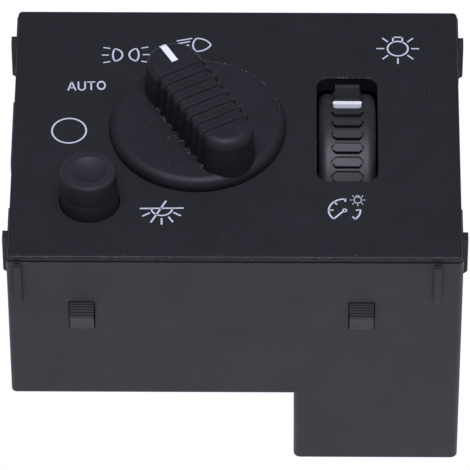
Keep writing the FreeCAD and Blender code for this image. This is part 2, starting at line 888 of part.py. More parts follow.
def lamp_places():
    """Where each lamp stands on the board."""
    edges = {"left": (-BOARD_X, 1), "right": (BOARD_X, -1), "middle": (measure(0), 1),
             "upper": (BOARD_UPPER, -1), "lower": (-BOARD_LOWER, 1)}
    places = []
    for mark, (x_edge, _, y_edge, _) in LAMPS.items():
        start_x, way_x = edges[x_edge]
        start_y, way_y = edges[y_edge]
        places.append((start_x + way_x * getattr(size, f"{mark}_lamp_x"),
                       start_y + way_y * getattr(size, f"{mark}_lamp_y")))
    return places


def make_wheel_slot(name, near_face, span, half_x, spare):
    """A slot for the wheel through a plate whose face nearest the axle is near_face."""
    drop = near_face.value - WHEEL_Z.value
    chord = math.sqrt(PAD_RADIUS.value ** 2 - drop ** 2)
    root = f"sqrt({PAD_RADIUS.formula} ^ 2 - ({near_face.formula} - {WHEEL_Z.formula}) ^ 2)"
    half_y = Measure(chord, root) + spare
    return block(name, (WINDOW_X - half_x, WINDOW_X + half_x),
                 (size.window_y - half_y, size.window_y + half_y), span)


def make_carrier():
    """The inner frame: bearing, detent pocket, button guide and wheel cheeks."""
    x = INNER_X - size.carrier_gap
    y = INNER_Y - size.carrier_gap
    solids = [block("carrier_plate", (-x, x), (-y, y), (CARRIER_LOW, CARRIER_TOP))]
    bearing = (-size.bearing_foot, -size.bearing_top)
    solids.append(rod("bearing_tube", BEARING_OUTER, size.knob_x, size.knob_y, bearing))
    ball_x = size.knob_x - size.detent_ring
    pocket_foot = DETENT_TOP + size.fit_gap + size.ball_gap
    solids.append(rod("pocket_tube", POCKET_RADIUS + size.pocket_wall, ball_x, size.knob_y,
                      (pocket_foot, CARRIER_LOW + size.catch_wall)))
    guide = (-size.bearing_foot, BUTTON_SPRING_FOOT)
    solids.append(rod("button_guide", size.guide_radius, BUTTON_X, BUTTON_Y, guide))
    for side in SIDES:
        inner = WINDOW_X + side * CHEEK_INNER
        outer = WINDOW_X + side * CHEEK_OUTER
        pair = (inner, outer) if side > 0 else (outer, inner)
        solids.append(block("cheek", pair,
                            (size.window_y - size.cheek_half, size.window_y + size.cheek_half),
                            (WHEEL_Z - size.cheek_drop, CARRIER_TOP)))
        standoff = side * (INNER_X - size.standoff_inset)
        for level in (size.standoff_upper, -size.standoff_lower):
            solids.append(rod("standoff", size.standoff_radius, standoff, level,
                              (CARRIER_LOW, GUIDE_LOW)))
    tools = [make_wheel_slot("carrier_wheel_slot", CARRIER_TOP - size.carrier_thick,
                             (WHEEL_Z, CARRIER_TOP + size.fit_gap), CHEEK_INNER,
                             size.wheel_slot_spare)]
    tools.append(rod("bearing_bore", size.journal_radius + size.running_gap,
                     size.knob_x, size.knob_y, bearing))
    tools.append(rod("pocket_bore", POCKET_RADIUS, ball_x, size.knob_y,
                     (pocket_foot, -size.pocket_top)))
    tools.append(rod("guide_bore", size.plunger_radius + size.running_gap,
                     BUTTON_X, BUTTON_Y, guide))
    tools.append(rod("axle_bores", size.axle_radius + size.running_gap,
                     (WINDOW_X - CHEEK_OUTER, WINDOW_X + CHEEK_OUTER),
                     size.window_y, WHEEL_Z))
    for hole_x, hole_y in boss_places():
        tools.append(rod("carrier_hole", size.screw_radius, hole_x, hole_y,
                         (CARRIER_LOW, CARRIER_TOP)))
    for hole_x, hole_y in lamp_places():
        tools.append(rod("pipe_hole", size.pipe_radius + size.pipe_gap, hole_x, hole_y,
                         (CARRIER_LOW, CARRIER_TOP)))
    return cut("carrier", joined("carrier_solids", solids), tools)


def make_light_guide():
    """The clear plate behind the marks, with one pipe down to each lamp."""
    x = INNER_X - size.fit_gap - size.bezel_skirt_wall - size.fit_gap
    y = INNER_Y - size.fit_gap - size.bezel_skirt_wall - size.fit_gap
    solids = [block("guide_plate", (-x, x), (-y, y), (GUIDE_LOW, GUIDE_TOP))]
    foot = BOARD_TOP + size.led_height + size.fit_gap
    for pipe_x, pipe_y in lamp_places():
        solids.append(rod("light_pipe", size.pipe_radius, pipe_x, pipe_y, (foot, GUIDE_TOP)))
    span = (GUIDE_LOW, GUIDE_TOP)
    window_x = size.window_width / 2 + size.collar_wall + size.fit_gap
    window_y = size.window_length / 2 + size.collar_wall + size.fit_gap
    tools = [
        rod("guide_knob_hole", size.skirt_radius + size.guide_hole_gap,
            size.knob_x, size.knob_y, span),
        rod("guide_button_hole", size.button_foot + size.guide_hole_gap,
            BUTTON_X, BUTTON_Y, span),
        block("guide_window", (WINDOW_X - window_x, WINDOW_X + window_x),
              (size.window_y - window_y, size.window_y + window_y), span),
    ]
    return cut("light_guide", joined("guide_solids", solids), tools)


def make_circuit_board():
    """The board with its wheel slot, screw holes and plated pin holes."""
    body = new_body("board_sheet")
    outline = new_sketch(body, "board_outline", lift=BOARD_LOW)
    draw_rectangle(outline, (-BOARD_X, BOARD_X),
                   (-BOARD_LOWER, BOARD_UPPER))
    add_feature(body, "Pad", "board_pad", outline, size.board_thick)
    holes = new_sketch(body, "board_holes", lift=BOARD_TOP)
    for x, y in post_places():
        draw_circle(holes, x, y, size.post_screw)
    for x, y in pin_places():
        draw_circle(holes, x, y, size.pin_hole)
    add_feature(body, "Pocket", "board_drillings", holes, size.board_thick)
    slot = make_wheel_slot("board_wheel_slot", BOARD_TOP, (BOARD_LOW, BOARD_TOP),
                           CHEEK_INNER, size.wheel_slot_spare)
    return cut("circuit_board", body, [slot])


def pin_places():
    """The two rows of pins, centred in the connector cavity."""
    columns = int(size.pin_columns.value)
    first = CAVITY_X - size.pin_pitch * (size.pin_columns - 1) / 2
    rows = (CAVITY_Y - size.pin_rows_gap / 2, CAVITY_Y + size.pin_rows_gap / 2)
    return [(first + size.pin_pitch * column, row) for row in rows for column in range(columns)]


def pin_block(name, x, y, z):
    """A square pin, or the hole that one fills, between two heights."""
    half = size.pin_side / 2
    return block(name, (x - half, x + half), (y - half, y + half), z)


def make_pins():
    """The connector pins, soldered to the board and open to the plug."""
    span = (CASE_BACK - size.pin_reach, BOARD_TOP + size.pin_tail)
    return group("connector_pins", [pin_block("pin", x, y, span) for x, y in pin_places()])


def make_header():
    """The insulator that guides the pins from the board through the case floor."""
    z = (CASE_BACK - size.header_nose, BOARD_LOW)
    solid = block("header_solid",
                  (CAVITY_X - size.header_long / 2, CAVITY_X + size.header_long / 2),
                  (CAVITY_Y - size.header_wide / 2, CAVITY_Y + size.header_wide / 2), z)
    return cut("pin_header", solid, [pin_block("header_hole", x, y, z) for x, y in pin_places()])


def make_screws(name, places, seat, shank, head, head_thick):
    """Pan head screws, one solid each, with a cross recess in the head."""
    screws = []
    for x, y in places:
        solid = joined("screw_solid", [
            rod("shank", shank, x, y, (seat - size.screw_length, seat)),
            rod("head", head, x, y, (seat, seat + head_thick)),
        ])
        arm = head * size.cross_reach
        slit = shank * size.cross_width
        depth = (seat + head_thick / 2, seat + head_thick)
        cross = [block("slit", (x - arm, x + arm), (y - slit, y + slit), depth),
                 block("slit", (x - slit, x + slit), (y - arm, y + arm), depth)]
        screws.append(cut("screw", solid, cross))
    return group(name, screws)


def make_board_parts():
    """Lamps, resistors, the control chip and the push switch on the board."""
    lamps = []
    resistors = []
    for x, y in lamp_places():
        lamps.append(block("lamp", (x - size.led_long / 2, x + size.led_long / 2),
                           (y - size.led_short / 2, y + size.led_short / 2),
                           (BOARD_TOP, BOARD_TOP + size.led_height)))
        low = y - size.resistor_shift
        resistors.append(block("resistor",
                               (x - size.resistor_long / 2, x + size.resistor_long / 2),
                               (low - size.resistor_wide / 2, low + size.resistor_wide / 2),
                               (BOARD_TOP, BOARD_TOP + size.resistor_height)))
    half_x = size.chip_long / 2
    half_y = size.chip_wide / 2
    chip_y = BOARD_UPPER - size.chip_inset
    chip = [block("chip_block", (size.chip_x - half_x, size.chip_x + half_x),
                  (chip_y - half_y, chip_y + half_y),
                  (BOARD_TOP + size.chip_leg / 2, BOARD_TOP + size.chip_height))]
    for column in (-2, -1, 0, 1, 2):
        middle = size.chip_x + size.chip_leg_pitch * column
        chip.append(block("chip_legs", (middle - size.chip_leg / 2, middle + size.chip_leg / 2),
                          (chip_y - half_y - size.chip_leg * 2,
                           chip_y + half_y + size.chip_leg * 2),
                          (BOARD_TOP, BOARD_TOP + size.chip_leg)))
    half = size.switch_width / 2
    switch = joined("push_switch", [
        block("switch_block", (BUTTON_X - half, BUTTON_X + half),
              (BUTTON_Y - half, BUTTON_Y + half), (BOARD_TOP, SWITCH_TOP)),
        rod("actuator", size.actuator_radius, BUTTON_X, BUTTON_Y,
            (SWITCH_TOP, SWITCH_TOP + size.actuator_height)),
    ])
    return [group("lamps", lamps), group("chip_resistors", resistors),
            joined("control_chip", chip), switch]


def make_potentiometer():
    """The dimmer's resistor block on the right cheek, with its legs to the board."""
    left = WINDOW_X + CHEEK_OUTER
    x = (left, left + size.pot_length)
    y = (size.window_y - size.pot_half, size.window_y + size.pot_half)
    z = (WHEEL_Z - size.pot_half, WHEEL_Z + size.pot_half)
    solids = [block("pot_case", x, y, z)]
    middle = left + size.pot_length / 2
    for leg in (-1, 0, 1):
        place_y = size.window_y + size.pot_leg_pitch * leg
        solids.append(block("pot_leg", (middle - size.pot_leg_thick / 2,
                                    middle + size.pot_leg_thick / 2),
                            (place_y - size.pot_leg / 2, place_y + size.pot_leg / 2),
                            (BOARD_TOP, z[0] + size.pot_leg)))
    bore = rod("pot_bore", size.axle_radius + size.running_gap, x, size.window_y, WHEEL_Z)
    return cut("dimmer_potentiometer", joined("pot_solids", solids), [bore])


def make_coil(name, radius, wire, turns, x, y, foot, top):
    """A round wire helix whose outside touches both of its seats."""
    low = foot.value + wire.value
    height = top.value - foot.value - 2 * wire.value
    path = Part.makeHelix(height / turns, height, radius.value)
    start = Part.makePolygon([
        Vector(radius.value + wire.value * math.cos(math.radians(turn)), 0,
               wire.value * math.sin(math.radians(turn)))
        for turn in range(30, 391, 60)])
    coil = Part.Wire(path.Edges).makePipeShell([start], True, True)
    item = document.addObject("Part::Feature", name)
    item.Shape = coil
    item.Placement = FreeCAD.Placement(
        Vector(measure(x).value, measure(y).value, low), FreeCAD.Rotation())
    return item


def make_detent():
    """The ball over the rotor's detent dimples, and the spring above it."""
    ball_x = size.knob_x - size.detent_ring
    ball = document.addObject("Part::Sphere", "detent_ball")
    bind(ball, "Radius", size.ball_radius)
    place(ball, ball_x, size.knob_y, BALL_Z)
    spring = make_coil("detent_spring", size.ball_radius - size.detent_wire * 2,
                       size.detent_wire, int(size.detent_turns.value), ball_x, size.knob_y,
                       BALL_Z + size.ball_radius, -size.pocket_top)
    return [ball, spring]


def place_knob_body(body):
    """Stands a body on the knob's axis with its +Y along the grip."""
    place(body, size.knob_x, size.knob_y, 0)
    body.Placement.Rotation = FreeCAD.Rotation(Vector(0, 0, 1), 30)
    bind(body, "Placement.Rotation.Angle", size.grip_turn)


def grip_corners():
    """The stadium plan of the grip at its foot, heel to tip."""
    half = size.grip_half
    tip = size.grip_tip - half
    heel = -size.grip_heel + half
    return half, tip, heel


def add_grip(body, lift):
    """The drafted, round-ended grip bar with its rounded top edge."""
    half, tip, heel = grip_corners()
    plan = new_sketch(body, "grip_plan", lift=lift)
    draw_outline(plan, [(half, heel), (half, tip, half * ARC_EASE), (0, tip + half,
                        half * ARC_EASE), (-half, tip), (-half, heel, half * ARC_EASE),
                        (0, heel - half, half * ARC_EASE)])
    grip = add_feature(body, "Pad", "grip", plan, KNOB_TOP - lift + size.grip_rise)
    bind(grip, "TaperAngle", -size.grip_draft)
    top = KNOB_TOP + size.grip_rise
    edges = edges_where(grip, lambda point: near(point.z, top))
    return add_rounding(body, "grip_rounding", grip, edges, size.grip_edge)


def grip_section():
    """The grip's lean, and its half widths at the disc and at the sharp top corner."""
    slope = math.tan(math.radians(size.grip_draft.value))
    lean = Measure(slope, f"tan({size.grip_draft.formula})")
    foot = size.grip_half - lean * size.knob_thick / 2
    return lean, foot, foot - lean * size.grip_rise


def add_heel_rounding(body):
    """A larger rounding on the heel's top edge, turned about the heel's own axis."""
    lean, _, crest = grip_section()
    heel = grip_corners()[2]
    top = KNOB_TOP + size.grip_rise
    turn = size.heel_edge
    spare = size.knob_ceiling
    shoulder = crest + lean * turn
    profile = new_sketch(body, "heel_profile", role="YZ_Plane")
    bind(profile, "AttachmentOffset.Base.x", heel)
    draw_outline(profile, [(-crest + turn, top, turn * DRAFT_EASE), (-shoulder, top - turn),
                           (-shoulder - spare, top - turn), (-shoulder - spare, top + spare),
                           (-crest + turn, top + spare)])
    item = body.newObject("PartDesign::Groove", "heel_rounding")
    item.Profile = profile
    item.ReferenceAxis = (profile, ["V_Axis"])
    item.Angle = 180
    item.Midplane = True


def add_grip_grooves(body):
    """One groove swept over the grip, up one side and down the other, then repeated."""
    lean, foot, crest = grip_section()
    top = KNOB_TOP + size.grip_rise
    spine = new_sketch(body, "groove_path", role="XZ_Plane", lift=-size.groove_first)
    turn = size.grip_edge
    shoulder = crest + lean * turn
    draw_outline(spine, [(-foot, KNOB_TOP),
                         (-shoulder, top - turn, -turn * DRAFT_EASE),
                         (-crest + turn, top),
                         (crest - turn, top, -turn * DRAFT_EASE),
                         (shoulder, top - turn),
                         (foot, KNOB_TOP)], closed=False)
    section = new_sketch(body, "groove_section", lift=KNOB_TOP)
    mouth = size.groove_mouth / 2
    bed = size.groove_bed / 2
    middle = size.groove_first
    outside = -foot - size.groove_depth
    inside = -foot + size.groove_depth
    spread = (mouth - bed)
    draw_outline(section, [(outside, middle - mouth - spread), (inside, middle - bed),
                           (inside, middle + bed), (outside, middle + mouth + spread)])
    groove = body.newObject("PartDesign::SubtractivePipe", "groove")
    groove.Profile = section
    groove.Spine = (spine, [])
    row = body.newObject("PartDesign::LinearPattern", "grooves")
    row.Originals = [groove]
    row.Direction = (section, ["V_Axis"])
    row.Reversed = True
    bind(row, "Length", size.groove_pitch * (size.groove_count - 1))
    row.Occurrences = int(size.groove_count.value)
    body.Tip = row
    return row


def make_knob():
    """The knob: a disc with a hollow skirt and hub, and the ribbed grip on top."""
    body = new_body("knob_form")
    place_knob_body(body)
    profile = new_sketch(body, "knob_profile", role="XZ_Plane")
    rise = KNOB_LOW + size.knob_ceiling
    edge = size.knob_edge
    draw_outline(profile, [
        (0, HUB_FOOT), (size.hub_radius, HUB_FOOT), (size.hub_radius, rise),
        (size.skirt_radius - size.skirt_wall, rise),
        (size.skirt_radius - size.skirt_wall, HUB_FOOT), (size.skirt_radius, HUB_FOOT),
        (size.skirt_radius, KNOB_LOW), (size.knob_radius, KNOB_LOW),
        (size.knob_radius, KNOB_TOP - edge, edge * ARC_EASE), (size.knob_radius - edge, KNOB_TOP),
        (0, KNOB_TOP)])
    add_turning(body, "Revolution", "knob_disc", profile)
    add_grip(body, KNOB_TOP - size.knob_thick / 2)
    add_heel_rounding(body)
    add_grip_grooves(body)
    bore = new_sketch(body, "spigot_bore", lift=HUB_FOOT)
    draw_spigot(bore)
    add_feature(body, "Pocket", "bore", bore, size.spigot_rise - HUB_FOOT, back=True)
    return body


def draw_spigot(sketch):
    """The D outline of the rotor's spigot."""
    radius = size.spigot_radius
    flat = size.spigot_flat
    half = math.sqrt(radius.value ** 2 - flat.value ** 2)
    chord = Measure(half, f"sqrt({radius.formula} ^ 2 - {flat.formula} ^ 2)")
    draw_outline(sketch, [(-chord, -flat), (chord, -flat, radius), (0, radius, radius)])


def pointer_block(body_name):
    """The slot in the grip's top that the white pointer fills."""
    body = new_body(body_name)
    place_knob_body(body)
    half = size.pointer_width / 2
    top = KNOB_TOP + size.grip_rise
    plan = new_sketch(body, body_name + "_plan", lift=top - size.pointer_depth)
    draw_rectangle(plan, (-half, half), (size.pointer_start, size.grip_tip + size.fit_gap))
    add_feature(body, "Pad", body_name + "_pad", plan, size.pointer_depth * 2)
    return body


def make_knob_and_pointer():
    """The knob with its pointer slot, and the white pointer shaped to the same top."""
    form = make_knob()
    slot = pointer_block("pointer_slot")
    knob = cut("knob", form, [slot])
    pointer = common("knob_pointer", form, slot)
    return [knob, pointer]


def make_rotor():
    """The shaft that the knob turns, with its detent disc and brush plate."""
    body = new_body("rotor_form")
    place_knob_body(body)
    profile = new_sketch(body, "rotor_profile", role="XZ_Plane")
    clip_low = -size.bearing_top + size.fit_gap
    clip_high = clip_low + size.clip_thick
    brush_top = BRUSH_FOOT + size.brush_plate
    draw_outline(profile, [
        (0, BRUSH_FOOT), (size.brush_radius, BRUSH_FOOT), (size.brush_radius, brush_top),
        (size.stem_radius, brush_top), (size.stem_radius, DETENT_LOW),
        (size.detent_radius, DETENT_LOW), (size.detent_radius, DETENT_TOP),
        (size.journal_radius, DETENT_TOP), (size.journal_radius, clip_low),
        (size.clip_inner, clip_low), (size.clip_inner, clip_high),
        (size.journal_radius, clip_high), (size.journal_radius, HUB_FOOT), (0, HUB_FOOT)])
    add_turning(body, "Revolution", "rotor_turned", profile)
    spigot = new_sketch(body, "spigot_outline", lift=HUB_FOOT - size.fit_gap)
    draw_spigot(spigot)
    add_feature(body, "Pad", "spigot", spigot, size.spigot_rise - HUB_FOOT)
    dimples = []
    for stop in range(int(size.detent_count.value)):
        dimple = document.addObject("Part::Sphere", "dimple")
        bind(dimple, "Radius", size.dimple_radius)
        turn = 180 - size.detent_step * (stop - 1)
        reach = size.detent_ring
        angle = math.radians(turn.value)
        x = Measure(math.cos(angle), f"cos({turn.formula})") * reach + size.knob_x
        y = Measure(math.sin(angle), f"sin({turn.formula})") * reach + size.knob_y
        place(dimple, x, y, DETENT_TOP + size.dimple_radius - size.dimple_depth)
        dimples.append(dimple)
    return cut("rotor", body, dimples)


def make_rotor_clip():
    """The open ring that keeps the rotor's shaft in its bearing."""
    low = -size.bearing_top + size.fit_gap
    span = (low, low + size.clip_thick)
    ring = rod("clip_ring", size.clip_outer, size.knob_x, size.knob_y, span)
    hole = rod("clip_hole", size.clip_inner, size.knob_x, size.knob_y, span)
    mouth = block("clip_mouth_slot", (size.knob_x - size.clip_mouth / 2,
                                      size.knob_x + size.clip_mouth / 2),
                  (size.knob_y, size.knob_y + size.clip_outer), span)
    return cut("rotor_clip", ring, [hole, mouth])


def make_wiper():
    """The sprung brush ring under the rotor, with three contact fingers."""
    span = (BRUSH_FOOT - size.wiper_thick, BRUSH_FOOT)
    ring = rod("wiper_ring", size.brush_radius, size.knob_x, size.knob_y, span)
    hole = rod("wiper_hole", size.wiper_inner, size.knob_x, size.knob_y, span)
    gaps = []
    for turn in (90, 210, 330):
        angle = math.radians(turn)
        reach = (size.brush_radius + size.wiper_inner) / 2
        x = size.knob_x + reach * math.cos(angle)
        y = size.knob_y + reach * math.sin(angle)
        gaps.append(rod("wiper_gap", size.wiper_thick * 2, x, y, span))
    return cut("contact_wiper", ring, [hole] + gaps)


def make_button():
    """The dome lamp button: a flared cap with a dished top, hollow below."""
    body = new_body("button_cap")
    place(body, BUTTON_X, BUTTON_Y, 0)
    profile = new_sketch(body, "button_profile", role="XZ_Plane")
    rim = size.button_rim
    dish = size.button_radius - size.button_ring
    draw_outline(profile, [
        (0, BUTTON_CEILING), (size.button_bore, BUTTON_CEILING),
        (size.button_bore, BUTTON_FOOT), (size.button_foot, BUTTON_FOOT),
        (size.button_foot, PLATE_TOP, size.button_bend),
        (size.button_radius, BUTTON_FLARE), (size.button_radius, BUTTON_TOP - rim,
                                             rim * ARC_EASE),
        (size.button_radius - rim, BUTTON_TOP), (dish, BUTTON_TOP, -size.button_dish),
        (0, BUTTON_TOP - dish_depth(dish))])
    add_turning(body, "Revolution", "button_turned", profile)
    socket = new_sketch(body, "peg_socket", lift=BUTTON_CEILING)
    draw_circle(socket, 0, 0, size.plunger_peg)
    add_feature(body, "Pocket", "peg_hole", socket, size.plunger_peg_rise, back=True)
    return body


def dish_depth(dish):
    """How deep the button's dish is, from its radius of curvature."""
    bend = size.button_dish
    depth = bend.value - math.sqrt(bend.value ** 2 - dish.value ** 2)
    return Measure(depth, f"({bend.formula} - sqrt({bend.formula} ^ 2 - {dish.formula} ^ 2))")


def make_plunger():
    """The button's stem, which slides in the carrier down to the push switch."""
    foot = ACTUATOR_TOP + size.button_stroke
    rods = [rod("plunger_rod", size.plunger_radius, BUTTON_X, BUTTON_Y,
                (foot, BUTTON_CEILING)),
            rod("plunger_top", size.plunger_peg, BUTTON_X, BUTTON_Y,
                (BUTTON_CEILING, BUTTON_CEILING + size.plunger_peg_rise))]
    return joined("button_plunger", rods)


def make_thumbwheel():
    """The dimmer wheel: crowned rim on a web and hub, raised pads and a stop block."""
    body = new_body("wheel_form")
    stand_on_axle(body, -size.marker_turn)
    profile = new_sketch(body, "wheel_profile", role="XZ_Plane")
    half = WHEEL_HALF
    flat = half - size.wheel_crown
    outer = size.wheel_radius
    shoulder = outer - size.wheel_shoulder
    inner = outer - size.wheel_rim - size.wheel_shoulder
    web = size.wheel_web / 2
    hub = size.wheel_hub
    bend = size.crown_bend
    draw_outline(profile, [
        (-half, size.axle_radius), (half, size.axle_radius), (half, hub), (web, hub),
        (web, inner), (half, inner), (half, shoulder, bend), (flat, outer),
        (-flat, outer, bend), (-half, shoulder), (-half, inner), (-web, inner),
        (-web, hub), (-half, hub)])
    add_turning(body, "Revolution", "wheel_turned", profile, axis="H_Axis")
    margin = size.moat_width * 2
    moat_plan = new_sketch(body, "moat_plan", lift=outer - size.moat_depth)
    draw_pill(moat_plan, size.pad_width + margin, size.pad_length + margin)
    moat = add_feature(body, "Pocket", "moat", moat_plan, size.pad_height, back=True)
    plan = new_sketch(body, "pad_plan", lift=outer - size.pad_height)
    draw_pill(plan, size.pad_width, size.pad_length)
    pad = add_feature(body, "Pad", "pad", plan, size.pad_height * 2)
    ring = body.newObject("PartDesign::PolarPattern", "pads")
    ring.Originals = [moat, pad]
    ring.Axis = (profile, ["H_Axis"])
    ring.Angle = 360
    ring.Occurrences = int(size.pad_count.value)
    body.Tip = ring
    return body


def stand_on_axle(body, turn):
    """Puts a body on the wheel's axle, turned about it."""
    place(body, WINDOW_X, size.window_y, WHEEL_Z)
    body.Placement.Rotation = FreeCAD.Rotation(Vector(1, 0, 0), 10)
    bind(body, "Placement.Rotation.Angle", turn)


def draw_pill(sketch, width, length):
    """The plan of a pad: a bar with its corners cut off."""
    half_x = width / 2
    half_y = length / 2
    side = half_x - half_y + size.pad_nose / 2
    nose = size.pad_nose / 2
    draw_outline(sketch, [(-side, -half_y), (side, -half_y), (half_x, -nose), (half_x, nose),
                          (side, half_y), (-side, half_y), (-half_x, nose), (-half_x, -nose)])


def wheel_insert(name, width, length, low, high):
    """A pill standing on the wheel's rim at the marker's place."""
    body = new_body(name)
    plan = new_sketch(body, name + "_plan", lift=low)
    draw_pill(plan, width, length)
    add_feature(body, "Pad", name + "_pad", plan, high - low)
    stand_on_axle(body, -size.marker_turn)
    return body


def make_tab():
    """The upright tab on the rim that stops the wheel at either end of its window."""
    tab = new_body("stop_tab")
    foot = size.wheel_radius - size.wheel_rim / 2
    plan = new_sketch(tab, "tab_plan", lift=foot)
    draw_rectangle(plan, (-size.tab_width / 2, size.tab_width / 2),
                   (-size.tab_length / 2, size.tab_length / 2))
    add_feature(tab, "Pad", "tab_pad", plan, TAB_RADIUS - foot)
    stand_on_axle(tab, -size.marker_turn - size.tab_turn)
    return tab


def make_tab_clearing():
    """The stretch of rim round the tab that has no pads."""
    body = new_body("tab_clearing")
    plan = new_sketch(body, "tab_clearing_plan", lift=size.wheel_radius)
    half_x = size.pad_width / 2 + size.moat_width
    half_y = size.tab_length / 2 + size.pad_length
    draw_rectangle(plan, (-half_x, half_x), (-half_y, half_y))
    add_feature(body, "Pad", "tab_clearing_pad", plan, size.tab_height)
    stand_on_axle(body, -size.marker_turn - size.tab_turn)
    return body


def make_wheel_parts():
    """The thumbwheel with its marker pocket and stop tab, the marker and the axle."""
    outer = size.wheel_radius
    margin = size.moat_width * 2
    clearing = wheel_insert("pad_clearing", size.marker_width + margin,
                            size.marker_length + margin, outer - size.moat_depth, TAB_RADIUS)
    pocket = wheel_insert("marker_pocket", size.marker_width, size.marker_length,
                          outer - size.marker_depth, PAD_RADIUS)
    marker = wheel_insert("wheel_marker", size.marker_width, size.marker_length,
                          outer - size.marker_depth, PAD_RADIUS)
    rim = cut("wheel_rim_cleared", make_thumbwheel(), [clearing, pocket, make_tab_clearing()])
    wheel = joined("thumbwheel", [rim, make_tab()])
    axle = rod("wheel_axle", size.axle_radius,
               (WINDOW_X - CHEEK_OUTER,
                WINDOW_X + CHEEK_OUTER + size.pot_length - size.fit_gap),
               size.window_y, WHEEL_Z)
    return [wheel, marker, axle]


def make_button_spring():
    """The coil that returns the button, between the guide tube and the cap."""
    return make_coil("button_spring", size.spring_radius, size.spring_wire,
                     int(size.spring_turns.value), BUTTON_X, BUTTON_Y,
                     BUTTON_SPRING_FOOT, BUTTON_CEILING)


def make_all():
    """Every piece, in the order in which the switch is put together."""
    pieces = [make_housing(), make_circuit_board(), make_header(), make_pins()]
    pieces += make_board_parts()
    pieces.append(make_screws("board_screws", post_places(), BOARD_TOP, size.post_screw,
                              size.post_head, size.post_head_thick))
    pieces.append(make_carrier())
    pieces.append(make_screws("carrier_screws", boss_places(), CARRIER_TOP,
                              size.screw_radius, size.screw_head, size.screw_head_thick))
    pieces += make_detent()
    pieces += [make_rotor(), make_rotor_clip(), make_wiper(), make_potentiometer()]
    pieces += make_wheel_parts()
    pieces += [make_plunger(), make_button_spring(), make_light_guide(), make_bezel()]
    pieces += [make_button()]
    pieces += make_knob_and_pointer()
    return pieces


def check(pieces):
    """Stops if any object failed to compute or any piece isn't a sound solid."""
    for item in document.Objects:
        if "Invalid" in item.State or "Error" in item.State:
            raise RuntimeError(f"{item.Name} did not compute: {item.State}")
    for piece in pieces:
        shape = piece.Shape
        if shape.isNull() or not shape.isValid() or shape.Volume <= 0:
            raise RuntimeError(f"{piece.Name} has no sound shape")


def write(pieces):
    """Names each piece after its node and writes its file."""
    os.makedirs("parts", exist_ok=True)
    for piece in pieces:
        piece.Label = piece.Name
        piece.Shape.exportStep(f"parts/{piece.Label}.step")
        print(f"{piece.Label}: {len(piece.Shape.Solids)} solids, {piece.Shape.Volume:.1f} mm3")


all_pieces = make_all()
document.recompute()
check(all_pieces)
write(all_pieces)
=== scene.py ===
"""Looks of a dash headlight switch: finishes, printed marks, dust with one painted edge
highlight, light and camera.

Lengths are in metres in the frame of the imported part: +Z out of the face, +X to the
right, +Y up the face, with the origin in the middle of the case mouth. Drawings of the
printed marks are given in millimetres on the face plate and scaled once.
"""

import logging
import math
import random
from dataclasses import dataclass, field
from enum import Enum

import bmesh
import bpy
from mathutils import Matrix, Vector


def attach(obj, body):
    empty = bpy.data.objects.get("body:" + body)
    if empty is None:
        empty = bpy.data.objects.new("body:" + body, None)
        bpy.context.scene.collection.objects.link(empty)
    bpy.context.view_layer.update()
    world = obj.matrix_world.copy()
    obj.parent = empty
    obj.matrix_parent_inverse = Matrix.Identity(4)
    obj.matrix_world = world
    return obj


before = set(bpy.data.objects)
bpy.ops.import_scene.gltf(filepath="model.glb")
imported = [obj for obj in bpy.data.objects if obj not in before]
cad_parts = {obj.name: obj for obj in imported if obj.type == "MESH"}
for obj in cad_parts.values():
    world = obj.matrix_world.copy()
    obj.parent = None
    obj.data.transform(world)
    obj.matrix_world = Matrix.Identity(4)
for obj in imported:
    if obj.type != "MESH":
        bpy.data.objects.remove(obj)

MM = 0.001
PLATE_TOP = 1.6 * MM
FLOOR_LEVEL = -66.2 * MM
FLOOR_GAP = 0.5 * MM

log = logging.getLogger("headlight_switch")

Colour = tuple[float, float, float]
Point = tuple[float, float]
Place = tuple[float, float, float]


class Body(Enum):
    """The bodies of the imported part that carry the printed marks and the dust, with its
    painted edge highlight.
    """

    CASE = "case"
    KNOB = "knob_body"


